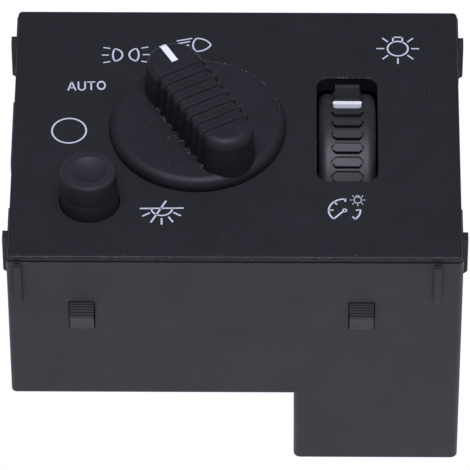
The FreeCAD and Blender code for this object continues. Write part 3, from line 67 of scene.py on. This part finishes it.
class NodeGraph:
    """A material's node tree with short calls for the nodes used here."""

    def __init__(self, name: str) -> None:
        """Starts a material with only a shader and its output.

        Args:
            name: The material's name.
        """
        self.material = bpy.data.materials.new(name)
        self.material.use_nodes = True
        self.tree = self.material.node_tree
        self.tree.nodes.clear()
        self.output = self.tree.nodes.new("ShaderNodeOutputMaterial")
        self.shader = self.tree.nodes.new("ShaderNodeBsdfPrincipled")
        self.link(self.shader.outputs["BSDF"], self.output.inputs["Surface"])
        self.place = self.tree.nodes.new("ShaderNodeTexCoord").outputs["Object"]

    def link(self, source: bpy.types.NodeSocket, target: bpy.types.NodeSocket) -> None:
        """Joins two sockets."""
        self.tree.links.new(source, target)

    def noise(self, scale: float, detail: float = 3.0, stretch: Colour = (1, 1, 1),
              roughness: float = 0.6) -> bpy.types.NodeSocket:
        """Adds a noise pattern in the object's own space.

        Args:
            scale: Waves of the pattern per metre.
            detail: Layers of finer noise.
            stretch: Factors on the coordinates, below one to draw the pattern out.
            roughness: Weight of the finer layers.

        Returns:
            The pattern's value, about 0.3 to 0.7.
        """
        mapping = self.tree.nodes.new("ShaderNodeMapping")
        mapping.inputs["Scale"].default_value = stretch
        self.link(self.place, mapping.inputs["Vector"])
        node = self.tree.nodes.new("ShaderNodeTexNoise")
        node.inputs["Scale"].default_value = scale
        node.inputs["Detail"].default_value = detail
        node.inputs["Roughness"].default_value = roughness
        self.link(mapping.outputs["Vector"], node.inputs["Vector"])
        return node.outputs["Fac"]

    def cells(self, scale: float) -> bpy.types.NodeSocket:
        """Adds rounded cells, as a spark-eroded mould leaves on plastic.

        Args:
            scale: Cells per metre.

        Returns:
            The distance from each cell's middle.
        """
        node = self.tree.nodes.new("ShaderNodeTexVoronoi")
        node.feature = "SMOOTH_F1"
        node.inputs["Scale"].default_value = scale
        node.inputs["Smoothness"].default_value = 0.6
        self.link(self.place, node.inputs["Vector"])
        return node.outputs["Distance"]

    def spread(self, value: bpy.types.NodeSocket, source: Point,
               target: Point) -> bpy.types.NodeSocket:
        """Maps a value from one range to another, held at both ends.

        Args:
            value: The value to map.
            source: The range that it is read in.
            target: The range that it becomes.

        Returns:
            The mapped value.
        """
        node = self.tree.nodes.new("ShaderNodeMapRange")
        node.inputs["From Min"].default_value = source[0]
        node.inputs["From Max"].default_value = source[1]
        node.inputs["To Min"].default_value = target[0]
        node.inputs["To Max"].default_value = target[1]
        self.link(value, node.inputs["Value"])
        return node.outputs["Result"]

    def blend(self, amount: bpy.types.NodeSocket, first: Colour,
              second: Colour) -> bpy.types.NodeSocket:
        """Mixes two colours by a value.

        Args:
            amount: Zero for the first colour, one for the second.
            first: Linear colour.
            second: Linear colour.

        Returns:
            The mixed colour.
        """
        node = self.tree.nodes.new("ShaderNodeMix")
        node.data_type = "RGBA"
        node.inputs["A"].default_value = (*first, 1)
        node.inputs["B"].default_value = (*second, 1)
        self.link(amount, node.inputs["Factor"])
        return node.outputs["Result"]

    def bump(self, height: bpy.types.NodeSocket, depth: float,
             edge: float = 0.0) -> None:
        """Gives the shader a bumped normal, over edges that are rounded off.

        Args:
            height: The pattern's height from zero to one.
            depth: The real depth of the pattern in metres.
            edge: Radius of the rounding seen on sharp edges, in metres.
        """
        node = self.tree.nodes.new("ShaderNodeBump")
        node.inputs["Strength"].default_value = 1.0
        node.inputs["Distance"].default_value = depth
        self.link(height, node.inputs["Height"])
        if edge:
            rounding = self.tree.nodes.new("ShaderNodeBevel")
            rounding.samples = 6
            rounding.inputs["Radius"].default_value = edge
            self.link(rounding.outputs["Normal"], node.inputs["Normal"])
        self.link(node.outputs["Normal"], self.shader.inputs["Normal"])

    def set(self, **sockets: float | tuple[float, ...]) -> None:
        """Sets plain numbers and colours on the shader's own sockets."""
        for name, value in sockets.items():
            socket = self.shader.inputs[name.replace("_", " ")]
            if isinstance(value, tuple) and len(value) == 3:
                value = (*value, 1)
            socket.default_value = value


@dataclass(frozen=True)
class MouldedPlastic:
    """Black or coloured moulded plastic with a fine mould grain and faint mottling."""

    name: str
    colour: Colour
    worn: Colour
    roughness: float = 0.5
    grain_pitch: float = 0.35 * MM
    grain_depth: float = 0.010 * MM
    edge: float = 0.2 * MM
    specular: float = 0.5

    def material(self) -> bpy.types.Material:
        """Returns the finish as a new material."""
        graph = NodeGraph(self.name)
        mottle = graph.spread(graph.noise(220, 4), (0.35, 0.68), (0, 1))
        graph.link(graph.blend(mottle, self.colour, self.worn),
                   graph.shader.inputs["Base Color"])
        rubbed = graph.spread(graph.noise(90, 3), (0.3, 0.7),
                              (self.roughness - 0.04, self.roughness + 0.05))
        graph.link(rubbed, graph.shader.inputs["Roughness"])
        graph.bump(graph.cells(1 / self.grain_pitch), self.grain_depth, self.edge)
        graph.set(Specular_IOR_Level=self.specular)
        return graph.material


@dataclass(frozen=True)
class Ink:
    """Printed or moulded white, very slightly uneven."""

    name: str
    colour: Colour
    shade: Colour
    roughness: float = 0.45

    def material(self) -> bpy.types.Material:
        """Returns the finish as a new material."""
        graph = NodeGraph(self.name)
        uneven = graph.spread(graph.noise(2600, 2), (0.35, 0.65), (0, 1))
        graph.link(graph.blend(uneven, self.colour, self.shade),
                   graph.shader.inputs["Base Color"])
        graph.bump(graph.noise(4000, 2), 0.004 * MM)
        graph.set(Roughness=self.roughness)
        return graph.material


@dataclass(frozen=True)
class Metal:
    """Bare or plated metal with drawing marks along one axis."""

    name: str
    colour: Colour
    shade: Colour
    roughness: float = 0.3
    stretch: Colour = (1, 1, 0.1)

    def material(self) -> bpy.types.Material:
        """Returns the finish as a new material."""
        graph = NodeGraph(self.name)
        marks = graph.noise(3500, 4, self.stretch)
        tone = graph.spread(marks, (0.35, 0.65), (0, 1))
        graph.link(graph.blend(tone, self.colour, self.shade),
                   graph.shader.inputs["Base Color"])
        rough = graph.spread(marks, (0.3, 0.7), (self.roughness - 0.06, self.roughness + 0.1))
        graph.link(rough, graph.shader.inputs["Roughness"])
        graph.bump(marks, 0.002 * MM)
        graph.set(Metallic=1.0)
        return graph.material


@dataclass(frozen=True)
class ClearPlastic:
    """Clear moulded plastic, as a light guide is."""

    name: str
    colour: Colour

    def material(self) -> bpy.types.Material:
        """Returns the finish as a new material."""
        graph = NodeGraph(self.name)
        rough = graph.spread(graph.noise(400, 3), (0.3, 0.7), (0.06, 0.16))
        graph.link(rough, graph.shader.inputs["Roughness"])
        graph.set(Base_Color=self.colour, Transmission_Weight=0.9, IOR=1.49)
        return graph.material


CASE_BLACK = MouldedPlastic("case_black", (0.012, 0.012, 0.014), (0.016, 0.016, 0.018),
                            roughness=0.50, grain_pitch=0.26 * MM, grain_depth=0.005 * MM,
                            edge=0.18 * MM)
FACE_BLACK = MouldedPlastic("face_black", (0.0105, 0.0105, 0.013), (0.0125, 0.0125, 0.016),
                            roughness=0.52, grain_pitch=0.42 * MM, grain_depth=0.022 * MM,
                            edge=0.08 * MM, specular=0.36)
KNOB_BLACK = MouldedPlastic("knob_black", (0.0125, 0.0125, 0.0155), (0.0155, 0.0155, 0.0195),
                            roughness=0.54, grain_pitch=0.26 * MM, grain_depth=0.008 * MM,
                            edge=0.30 * MM, specular=0.30)
BUTTON_BLACK = MouldedPlastic("button_black", (0.016, 0.016, 0.020), (0.019, 0.019, 0.023),
                              roughness=0.56, grain_pitch=0.22 * MM, grain_depth=0.005 * MM,
                              edge=0.15 * MM, specular=0.30)
WHEEL_BLACK = MouldedPlastic("wheel_black", (0.016, 0.016, 0.018), (0.020, 0.020, 0.022),
                             roughness=0.50, grain_pitch=0.2 * MM, grain_depth=0.004 * MM,
                             edge=0.1 * MM)
INNER_BLACK = MouldedPlastic("inner_black", (0.006, 0.006, 0.007), (0.009, 0.009, 0.010),
                             roughness=0.6)
NATURAL = MouldedPlastic("natural_plastic", (0.46, 0.44, 0.39), (0.52, 0.50, 0.45),
                         roughness=0.45)
ACETAL = MouldedPlastic("acetal", (0.62, 0.60, 0.55), (0.68, 0.66, 0.61), roughness=0.35)
EPOXY = MouldedPlastic("chip_epoxy", (0.015, 0.015, 0.015), (0.03, 0.03, 0.03))
SWITCH_BLUE = MouldedPlastic("switch_blue", (0.03, 0.06, 0.22), (0.04, 0.08, 0.26))
BOARD_GREEN = MouldedPlastic("board_green", (0.01, 0.09, 0.03), (0.015, 0.12, 0.04),
                             roughness=0.3)
LAMP_WHITE = MouldedPlastic("lamp_white", (0.7, 0.62, 0.3), (0.8, 0.75, 0.5),
                            roughness=0.35)
POINTER_WHITE = Ink("pointer_white", (0.90, 0.91, 0.93), (0.86, 0.87, 0.90))
MARK_INK = Ink("mark_ink", (0.62, 0.65, 0.74), (0.56, 0.59, 0.68))
# Pale crumbs: dust, and along the thumbwheel window's far edge partly a painted highlight.
DUST_AND_HIGHLIGHT = Ink("dust", (0.42, 0.42, 0.44), (0.30, 0.30, 0.32), roughness=0.9)
STEEL = Metal("steel", (0.50, 0.50, 0.51), (0.38, 0.38, 0.39))
SPRING_STEEL = Metal("spring_steel", (0.46, 0.46, 0.47), (0.36, 0.36, 0.37), 0.35)
TIN = Metal("tin_plate", (0.62, 0.60, 0.55), (0.50, 0.48, 0.43), 0.25)
COPPER = Metal("contact_copper", (0.60, 0.34, 0.18), (0.50, 0.28, 0.14), 0.25)
CLEAR = ClearPlastic("clear_guide", (0.92, 0.95, 0.97))


@dataclass
class CadFinishes:
    """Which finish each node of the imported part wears."""

    finishes: dict[str, object] = field(default_factory=lambda: {
        "housing": CASE_BLACK,
        "bezel": FACE_BLACK,
        "knob": KNOB_BLACK,
        "button_cap": BUTTON_BLACK,
        "thumbwheel": WHEEL_BLACK,
        "knob_pointer": POINTER_WHITE,
        "wheel_marker": POINTER_WHITE,
        "light_guide": CLEAR,
        "carrier": INNER_BLACK,
        "pin_header": NATURAL,
        "rotor": ACETAL,
        "button_plunger": ACETAL,
        "circuit_board": BOARD_GREEN,
        "lamps": LAMP_WHITE,
        "chip_resistors": EPOXY,
        "control_chip": EPOXY,
        "push_switch": SWITCH_BLUE,
        "dimmer_potentiometer": SWITCH_BLUE,
        "connector_pins": TIN,
        "board_screws": STEEL,
        "carrier_screws": STEEL,
        "detent_ball": STEEL,
        "wheel_axle": STEEL,
        "detent_spring": SPRING_STEEL,
        "button_spring": SPRING_STEEL,
        "rotor_clip": SPRING_STEEL,
        "contact_wiper": COPPER,
    })

    def dress(self, nodes: dict[str, bpy.types.Object]) -> None:
        """Gives every node its material.

        Args:
            nodes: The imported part's objects by node name.
        """
        made: dict[str, bpy.types.Material] = {}
        for name, node in nodes.items():
            finish = self.finishes[name]
            if finish.name not in made:
                made[finish.name] = finish.material()
            node.data.materials.clear()
            node.data.materials.append(made[finish.name])
            log.info("dressed %s in %s", name, finish.name)


def finish_piece(mesh: bmesh.types.BMesh, name: str, material: bpy.types.Material,
                 body: Body) -> bpy.types.Object:
    """Makes a finished mesh an object that rides on a body.

    Args:
        mesh: The mesh in place, in metres.
        name: The piece's name.
        material: What it is made of.
        body: The body that carries it.

    Returns:
        The new object.
    """
    bmesh.ops.remove_doubles(mesh, verts=mesh.verts, dist=1e-8)
    bmesh.ops.recalc_face_normals(mesh, faces=mesh.faces)
    data = bpy.data.meshes.new(name)
    mesh.to_mesh(data)
    mesh.free()
    data.materials.append(material)
    piece = bpy.data.objects.new(name, data)
    bpy.context.scene.collection.objects.link(piece)
    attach(piece, body.value)
    log.info("made %s with %d faces", name, len(data.polygons))
    return piece


@dataclass
class Drawing:
    """A printed mark, drawn in strokes about its own centre in millimetres."""

    name: str
    centre: Point
    turn: float = 0.0
    stroke: float = 0.40
    height: float = 0.03
    sink: float = 0.02
    mesh: bmesh.types.BMesh = field(default_factory=bmesh.new)

    def bar(self, start: Point, end: Point, stroke: float | None = None) -> None:
        """Adds a straight stroke.

        Args:
            start: First end of its centre line.
            end: Second end of its centre line.
            stroke: Its width, or the drawing's own.
        """
        run = Vector(end) - Vector(start)
        middle = (Vector(start) + Vector(end)) / 2
        made = bmesh.ops.create_cube(self.mesh, size=1)["verts"]
        width = stroke or self.stroke
        bmesh.ops.scale(self.mesh, vec=(run.length, width, self.height), verts=made)
        angle = math.atan2(run.y, run.x)
        bmesh.ops.rotate(self.mesh, cent=(0, 0, 0), matrix=Matrix.Rotation(angle, 3, "Z"),
                         verts=made)
        bmesh.ops.translate(self.mesh, vec=(middle.x, middle.y, 0), verts=made)

    def arc(self, centre: Point, radius: float, start: float, end: float,
            squeeze: Point = (1, 1), stroke: float | None = None) -> None:
        """Adds a curved stroke.

        Args:
            centre: The arc's centre.
            radius: Radius of its centre line.
            start: Where it starts, in degrees from +X.
            end: Where it ends, in degrees; a full turn closes it.
            squeeze: Factors that make it an ellipse.
            stroke: Its width, or the drawing's own.
        """
        sweep = end - start
        closed = abs(abs(sweep) - 360) < 1e-6
        steps = max(4, int(abs(sweep) * max(radius, 1.0) / 9))
        verts = bmesh.ops.create_circle(self.mesh, segments=4, radius=math.sqrt(0.5))["verts"]
        bmesh.ops.rotate(self.mesh, cent=(0, 0, 0), verts=verts,
                         matrix=Matrix.Rotation(math.pi / 4, 3, "Z"))
        width = stroke or self.stroke
        bmesh.ops.scale(self.mesh, vec=(width, self.height, 1), verts=verts)
        bmesh.ops.rotate(self.mesh, cent=(0, 0, 0), verts=verts,
                         matrix=Matrix.Rotation(math.pi / 2, 3, "X"))
        bmesh.ops.translate(self.mesh, vec=(radius, 0, 0), verts=verts)
        bmesh.ops.rotate(self.mesh, cent=(0, 0, 0), verts=verts,
                         matrix=Matrix.Rotation(math.radians(start), 3, "Z"))
        edges = {edge for vert in verts for edge in vert.link_edges}
        before = set(self.mesh.verts) - set(verts)
        bmesh.ops.spin(self.mesh, geom=[*verts, *edges], cent=(0, 0, 0), axis=(0, 0, 1),
                       angle=math.radians(sweep), steps=steps, use_merge=closed)
        made = [vert for vert in self.mesh.verts if vert not in before]
        if not closed:
            open_edges = [edge for vert in made for edge in vert.link_edges
                          if edge.is_boundary]
            bmesh.ops.holes_fill(self.mesh, edges=list(set(open_edges)), sides=4)
        bmesh.ops.scale(self.mesh, vec=(squeeze[0], squeeze[1], 1), verts=made)
        bmesh.ops.translate(self.mesh, vec=(centre[0], centre[1], 0), verts=made)

    def bend(self, start: Point, end: Point, rise: float) -> None:
        """Adds a curved stroke between two points.

        Args:
            start: First end of its centre line.
            end: Second end of its centre line.
            rise: How far its middle stands off the straight line, to the right.
        """
        first, last = Vector(start), Vector(end)
        chord = (last - first).length
        radius = (chord ** 2 / 4 + rise ** 2) / (2 * abs(rise))
        along = (last - first).normalized()
        right = Vector((along.y, -along.x)) * math.copysign(1, rise)
        centre = (first + last) / 2 + right * (abs(rise) - radius)
        turn = [math.degrees(math.atan2(point.y - centre.y, point.x - centre.x))
                for point in (first, last)]
        sweep = (turn[1] - turn[0]) % 360
        if rise < 0:
            sweep -= 360
        self.arc((centre.x, centre.y), radius, turn[0], turn[0] + sweep)

    def rays(self, angles: list[float], near: Point, far: Point,
             stroke: float | None = None) -> None:
        """Adds strokes that fan out from the drawing's centre.

        Args:
            angles: Their directions in degrees.
            near: Half axes of the ellipse where they start.
            far: Half axes of the ellipse where they end.
            stroke: Their width, or the drawing's own.
        """
        for angle in angles:
            way = Vector((math.cos(math.radians(angle)), math.sin(math.radians(angle))))
            self.bar((way.x * near[0], way.y * near[1]), (way.x * far[0], way.y * far[1]),
                     stroke)

    def print_on_plate(self, material: bpy.types.Material) -> bpy.types.Object:
        """Lays the drawing on the face plate.

        Args:
            material: The ink.

        Returns:
            The new object.
        """
        level = PLATE_TOP + (self.height / 2 - self.sink) * MM
        move = Matrix.Translation((self.centre[0] * MM, self.centre[1] * MM, level))
        turn = Matrix.Rotation(math.radians(self.turn), 4, "Z")
        bmesh.ops.transform(self.mesh, matrix=move @ turn @ Matrix.Scale(MM, 4),
                            verts=self.mesh.verts)
        return finish_piece(self.mesh, self.name, material, Body.CASE)


@dataclass
class FaceMarks:
    """The lamp symbols and the word AUTO printed on the face plate."""

    ring_radius: float = 3.93
    ring_centre: Point = (-38.48, 0.33)

    def off_ring(self) -> Drawing:
        """Returns the ring beside the knob's off position."""
        drawing = Drawing("mark_off", self.ring_centre)
        drawing.arc((0, 0), self.ring_radius, 0, 360)
        return drawing

    def automatic(self) -> Drawing:
        """Returns the four letters of the automatic position, in plain strokes."""
        drawing = Drawing("mark_auto", (-34.85, 14.88), turn=2.2, stroke=0.37)
        drawing.bar((-4.30, -1.40), (-3.40, 1.40))
        drawing.bar((-2.50, -1.40), (-3.40, 1.40))
        drawing.bar((-3.95, -0.55), (-2.85, -0.55), 0.32)
        drawing.bar((-1.85, 1.40), (-1.85, -0.45))
        drawing.arc((-1.08, -0.45), 0.77, 180, 360, (1, 1.15))
        drawing.bar((-0.31, 1.40), (-0.31, -0.45))
        drawing.bar((0.15, 1.20), (2.05, 1.20), 0.36)
        drawing.bar((1.10, 1.20), (1.10, -1.40))
        drawing.arc((3.45, 0.0), 0.86, 0, 360, (1, 1.42))
        return drawing

    def parking(self) -> Drawing:
        """Returns the two back-to-back lamps of the parking position."""
        drawing = Drawing("mark_parking", (-25.93, 25.05), turn=1.2)
        for side in (-1, 1):
            corner, waist, nose = side * 2.52, side * 3.02, side * 0.80
            top, low, middle = (corner, 2.0), (corner, -2.0), (waist, 0)
            rise = 0.28 * side
            drawing.bend(top, (nose, 0), 0.50 * side)
            drawing.bend((nose, 0), low, 0.50 * side)
            drawing.bend(low, top, abs(waist - corner) * side)
            for level, slope in ((2.15, 0.36), (0.0, 0.0), (-2.15, -0.36)):
                start = side * (3.62 if level else 3.95)
                drawing.bar((start, level), (start + side * 1.62, level + slope), 0.34)
        return drawing

    def headlamp(self) -> Drawing:
        """Returns the lamp with slanting rays of the headlamp position."""
        drawing = Drawing("mark_headlamp", (-9.0, 28.43))
        top, low, nose = (-0.50, 2.12), (-0.58, -2.12), (2.85, 0.0)
        drawing.bend(top, nose, -0.62)
        drawing.bend(nose, low, -0.62)
        drawing.bend(low, top, -0.78)
        for right, level in ((-1.55, 2.15), (-2.02, 1.10), (-2.20, -0.05), (-2.05, -1.20)):
            drawing.bar((right, level), (right - 3.6, level - 0.92), 0.36)
        return drawing

    def dome_off(self) -> Drawing:
        """Returns the struck-out dome lamp beside the button."""
        drawing = Drawing("mark_dome_off", (-16.74, -24.18), turn=1.1)
        drawing.bar((-4.98, 0), (4.98, 0))
        drawing.arc((0, 0), 2.38, 180, 360, (1, 0.95))
        drawing.bar((1.02, 2.36), (-2.52, -4.42), 0.44)
        for start, end in (((-2.70, -1.36), (-4.42, -2.42)), ((-0.05, -3.10), (-0.05, -5.10)),
                           ((1.50, -2.66), (2.52, -4.36)), ((2.62, -1.34), (4.34, -2.42))):
            drawing.bar(start, end)
        return drawing

    def dimmer(self) -> Drawing:
        """Returns the gauge with its small lamp below the thumbwheel."""
        drawing = Drawing("mark_dimmer", (24.79, -24.66))
        radius = 3.58
        drawing.arc((0, 0), radius, 87, 227)
        drawing.bar((0.20, 3.78), (0.20, 2.75))
        for angle in (132, 178):
            way = Vector((math.cos(math.radians(angle)), math.sin(math.radians(angle))))
            drawing.bar(tuple(way * radius), tuple(way * (radius - 1.1)), 0.36)
        drawing.bar((-2.44, -2.62), (-0.38, -0.34), 0.42)
        drawing.arc((0.05, 0.05), 0.42, 0, 360, stroke=0.30)
        drawing.arc((0, 0), 3.62, -48, 6)
        drawing.bar((3.60, 0.28), (2.60, 0.05), 0.36)
        drawing.bar((2.46, -2.72), (1.80, -1.90), 0.36)
        return drawing

    def dimmer_bulb(self) -> Drawing:
        """Returns the small lamp beside the gauge."""
        drawing = Drawing("mark_dimmer_bulb", (27.82, -21.36), stroke=0.20)
        drawing.arc((0, 0), 0.84, 0, 360, (1, 1.15))
        drawing.bar((-0.42, 0.80), (-0.34, 1.40))
        drawing.bar((0.42, 0.80), (0.34, 1.40))
        drawing.bar((-0.46, 1.36), (0.46, 1.36))
        drawing.rays([0, 180, 225, 270, 315, 45, 135], (1.18, 1.30), (1.75, 1.95), 0.18)
        return drawing

    def bulb(self) -> Drawing:
        """Returns the lamp symbol above the thumbwheel."""
        drawing = Drawing("mark_bulb", (37.44, 27.41), stroke=0.40)
        drawing.arc((0, 0), 2.38, 0, 360)
        drawing.bar((-1.08, 2.1), (-1.08, 3.96))
        drawing.bar((1.08, 2.1), (1.08, 3.96))
        drawing.bar((-1.33, 3.76), (1.33, 3.76))
        drawing.rays([0, 180, 224, 270, 316, 44, 136], (3.14, 3.14), (4.98, 4.98), 0.37)
        return drawing

    def build(self) -> None:
        """Prints every mark on the plate."""
        ink = MARK_INK.material()
        for drawing in (self.off_ring(), self.automatic(), self.parking(), self.headlamp(),
                        self.dome_off(), self.dimmer(), self.dimmer_bulb(), self.bulb()):
            drawing.print_on_plate(ink)


@dataclass(frozen=True)
class Strip:
    """A straight strip of a surface with pale crumbs on it, in millimetres."""

    start: Place
    end: Place
    spread: Place
    count: int
    size: Point = (0.05, 0.10)


@dataclass
class DustAndHighlight:
    """Fine crumbs of pale dust, where the photograph shows them; the line along the
    thumbwheel window's far edge is partly a painted highlight.
    """

    seed: int = 11
    case_strips: tuple[Strip, ...] = (
        Strip((-50.6, -39.5, 1.45), (50.6, -39.5, 1.45), (0.2, 0, 0.1), 150, (0.03, 0.06)),
        Strip((-50.6, -38.9, 1.6), (50.6, -38.9, 1.6), (0.2, 0.35, 0), 90, (0.03, 0.07)),
        Strip((-48, 0, 1.6), (49, 0, 1.6), (2, 36, 0), 80, (0.03, 0.07)),
        Strip((-48, -39.75, -18), (48, -39.75, -18), (2, 0, 15), 22, (0.04, 0.09)),
        # Partly dust, partly a painted highlight: pale crumbs along the far edge of the
        # thumbwheel window.
        Strip((20.0, 17.75, 1.6), (31.0, 17.75, 1.6), (0.2, 0.15, 0), 45, (0.03, 0.07)),
    )
    knob_strips: tuple[Strip, ...] = (
        Strip((-19.2, 6.3, 4.7), (-7.4, -15.2, 4.7), (0.7, 0.5, 0), 44, (0.05, 0.12)),
        Strip((-23.0, 2.0, 4.7), (-12.0, -13.0, 4.7), (3.0, 2.0, 0), 18, (0.04, 0.08)),
        Strip((-2.0, 10.0, 4.7), (7.0, 0.0, 4.7), (3.0, 3.0, 0), 20, (0.04, 0.08)),
    )
    rim_centre: Point = (-8.9, 1.2)
    rim_radius: float = 19.4
    rim_level: float = 4.55
    rim_sweep: Point = (10, 105)
    rim_count: int = 90
    fall: float = 0.4

    def crumb(self, mesh: bmesh.types.BMesh, under: tuple[str, ...], place: Vector,
              radius: float) -> None:
        """Adds one crumb, seated on the surface below it, or none over an opening.

        Args:
            mesh: The mesh that it joins.
            under: The nodes that it may lie on.
            place: Where it falls, in millimetres.
            radius: Its size, in millimetres.
        """
        spots = [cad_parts[name].closest_point_on_mesh(place * MM)[1] for name in under]
        seat = min(spots, key=lambda spot: (spot - place * MM).length)
        if (seat - place * MM).length < self.fall * MM:
            made = bmesh.ops.create_icosphere(mesh, subdivisions=1, radius=radius * MM)
            bmesh.ops.translate(mesh, vec=seat, verts=made["verts"])

    def strew(self, mesh: bmesh.types.BMesh, under: tuple[str, ...],
              strips: tuple[Strip, ...], chance: random.Random) -> None:
        """Strews crumbs over strips of a surface.

        Args:
            mesh: The mesh that they join.
            under: The nodes that they may lie on.
            strips: Where they fall.
            chance: The seeded source of their places.
        """
        for strip in strips:
            for _ in range(strip.count):
                along = Vector(strip.start).lerp(Vector(strip.end), chance.random())
                aside = Vector([reach * chance.uniform(-1, 1) for reach in strip.spread])
                self.crumb(mesh, under, along + aside, chance.uniform(*strip.size))

    def strew_rim(self, mesh: bmesh.types.BMesh, chance: random.Random) -> None:
        """Strews crumbs along the far side of the knob's rim."""
        for _ in range(self.rim_count):
            turn = math.radians(chance.uniform(*self.rim_sweep))
            reach = self.rim_radius + chance.uniform(-0.12, 0.12)
            place = Vector((self.rim_centre[0] + reach * math.cos(turn),
                            self.rim_centre[1] + reach * math.sin(turn), self.rim_level))
            self.crumb(mesh, ("knob",), place, chance.uniform(0.03, 0.07))

    def build(self) -> None:
        """Lays the dust on the case and on the knob; along the window's far edge it is partly
        a painted highlight.
        """
        chance = random.Random(self.seed)
        material = DUST_AND_HIGHLIGHT.material()
        on_case, on_knob = bmesh.new(), bmesh.new()
        self.strew(on_case, ("bezel", "housing"), self.case_strips, chance)
        finish_piece(on_case, "dust_and_highlight_on_case", material, Body.CASE)
        self.strew(on_knob, ("knob",), self.knob_strips, chance)
        self.strew_rim(on_knob, chance)
        finish_piece(on_knob, "dust_on_knob", material, Body.KNOB)


@dataclass
class Studio:
    """The pale floor, the soft lights and the camera at the photograph's place."""

    azimuth: float = 0.653
    elevation: float = 46.764
    roll: float = -0.258
    focal_pixels: float = 5923.4
    frame_pixels: float = 470.0
    distance: float = 1362.8 * MM
    slide: Point = (-0.287 * MM, -23.626 * MM)
    sensor: float = 36.0
    cool: Colour = (0.94, 0.96, 1.12)
    room_level: float = 0.13
    floor_half: float = 6.0
    floor_colour: Colour = (0.8, 0.8, 0.8)
    floor_glow: Colour = (1, 1.01, 1.14)

    def camera(self) -> None:
        """Sets the camera where it stood for the photograph."""
        az, el, roll = (math.radians(a) for a in (self.azimuth, self.elevation, self.roll))
        back = Vector((math.sin(az) * math.cos(el), -math.cos(az) * math.cos(el),
                       math.sin(el)))
        right = Vector((math.cos(az), math.sin(az), 0))
        upward = back.cross(right)
        turned = math.cos(roll) * right + math.sin(roll) * upward
        upward = -math.sin(roll) * right + math.cos(roll) * upward
        place = turned * self.slide[0] + upward * self.slide[1] + back * self.distance
        place.z += PLATE_TOP
        data = bpy.data.cameras.new("camera")
        data.sensor_width = self.sensor
        data.lens = self.focal_pixels / self.frame_pixels * self.sensor
        data.clip_start = 0.01
        data.clip_end = 20
        camera = bpy.data.objects.new("camera", data)
        axes = Matrix((turned, upward, back)).transposed().to_4x4()
        camera.matrix_world = Matrix.Translation(place) @ axes
        bpy.context.scene.collection.objects.link(camera)
        bpy.context.scene.camera = camera

    def floor(self) -> None:
        """Lays a wide pale floor that the camera sees as plain white."""
        mesh = bmesh.new()
        bmesh.ops.create_grid(mesh, x_segments=1, y_segments=1, size=self.floor_half)
        bmesh.ops.translate(mesh, vec=(0, 0, FLOOR_LEVEL - FLOOR_GAP), verts=mesh.verts)
        data = bpy.data.meshes.new("floor")
        mesh.to_mesh(data)
        mesh.free()
        plane = bpy.data.objects.new("floor", data)
        bpy.context.scene.collection.objects.link(plane)
        data.materials.append(self.floor_material())

    def floor_material(self) -> bpy.types.Material:
        """Returns the floor's paint: white when seen or mirrored, pale to other light."""
        graph = NodeGraph("floor_paint")
        graph.set(Base_Color=self.floor_colour, Roughness=0.9)
        glow = graph.tree.nodes.new("ShaderNodeEmission")
        glow.inputs["Color"].default_value = (*self.floor_glow, 1)
        path = graph.tree.nodes.new("ShaderNodeLightPath")
        either = graph.tree.nodes.new("ShaderNodeMath")
        either.operation = "MAXIMUM"
        graph.link(path.outputs["Is Camera Ray"], either.inputs[0])
        graph.link(path.outputs["Is Glossy Ray"], either.inputs[1])
        mix = graph.tree.nodes.new("ShaderNodeMixShader")
        graph.link(either.outputs["Value"], mix.inputs["Fac"])
        graph.link(graph.shader.outputs["BSDF"], mix.inputs[1])
        graph.link(glow.outputs["Emission"], mix.inputs[2])
        graph.link(mix.outputs["Shader"], graph.output.inputs["Surface"])
        return graph.material

    def light(self, name: str, place: Place, size: Point, power: float,
              aim: Place = (0, 0, 0)) -> None:
        """Hangs one soft rectangular light.

        Args:
            name: Its name.
            place: Where it hangs, in metres.
            size: Its width and height, in metres.
            power: Its power in watts.
            aim: The point that it faces.
        """
        data = bpy.data.lights.new(name, "AREA")
        data.shape = "RECTANGLE"
        data.size, data.size_y = size
        data.energy = power
        data.color = self.cool
        lamp = bpy.data.objects.new(name, data)
        way = Vector(place) - Vector(aim)
        lamp.rotation_euler = way.to_track_quat("Z", "Y").to_euler()
        lamp.location = place
        bpy.context.scene.collection.objects.link(lamp)

    def world(self, level: float) -> None:
        """Fills the room with even, slightly cool light of the given level."""
        room = bpy.data.worlds.new("room")
        room.use_nodes = True
        background = room.node_tree.nodes["Background"]
        background.inputs["Color"].default_value = (*self.cool, 1)
        background.inputs["Strength"].default_value = level
        bpy.context.scene.world = room

    def build(self) -> None:
        """Sets the whole stage."""
        bpy.context.scene.view_settings.view_transform = "Standard"
        self.camera()
        self.floor()
        self.world(self.room_level)
        self.light("overhead", (0.0, -0.24, 1.3), (0.9, 0.6), 17)
        self.light("front", (-0.1, -1.3, 0.6), (1.2, 0.8), 0.6)
        self.light("right", (1.1, -0.3, 0.5), (0.7, 0.7), 1.0)


def main() -> None:
    """Dresses the part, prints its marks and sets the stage."""
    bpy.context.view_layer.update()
    CadFinishes().dress(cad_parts)
    FaceMarks().build()
    DustAndHighlight().build()
    Studio().build()


if __name__ == "__main__":
    logging.basicConfig(level=logging.INFO)
    main()
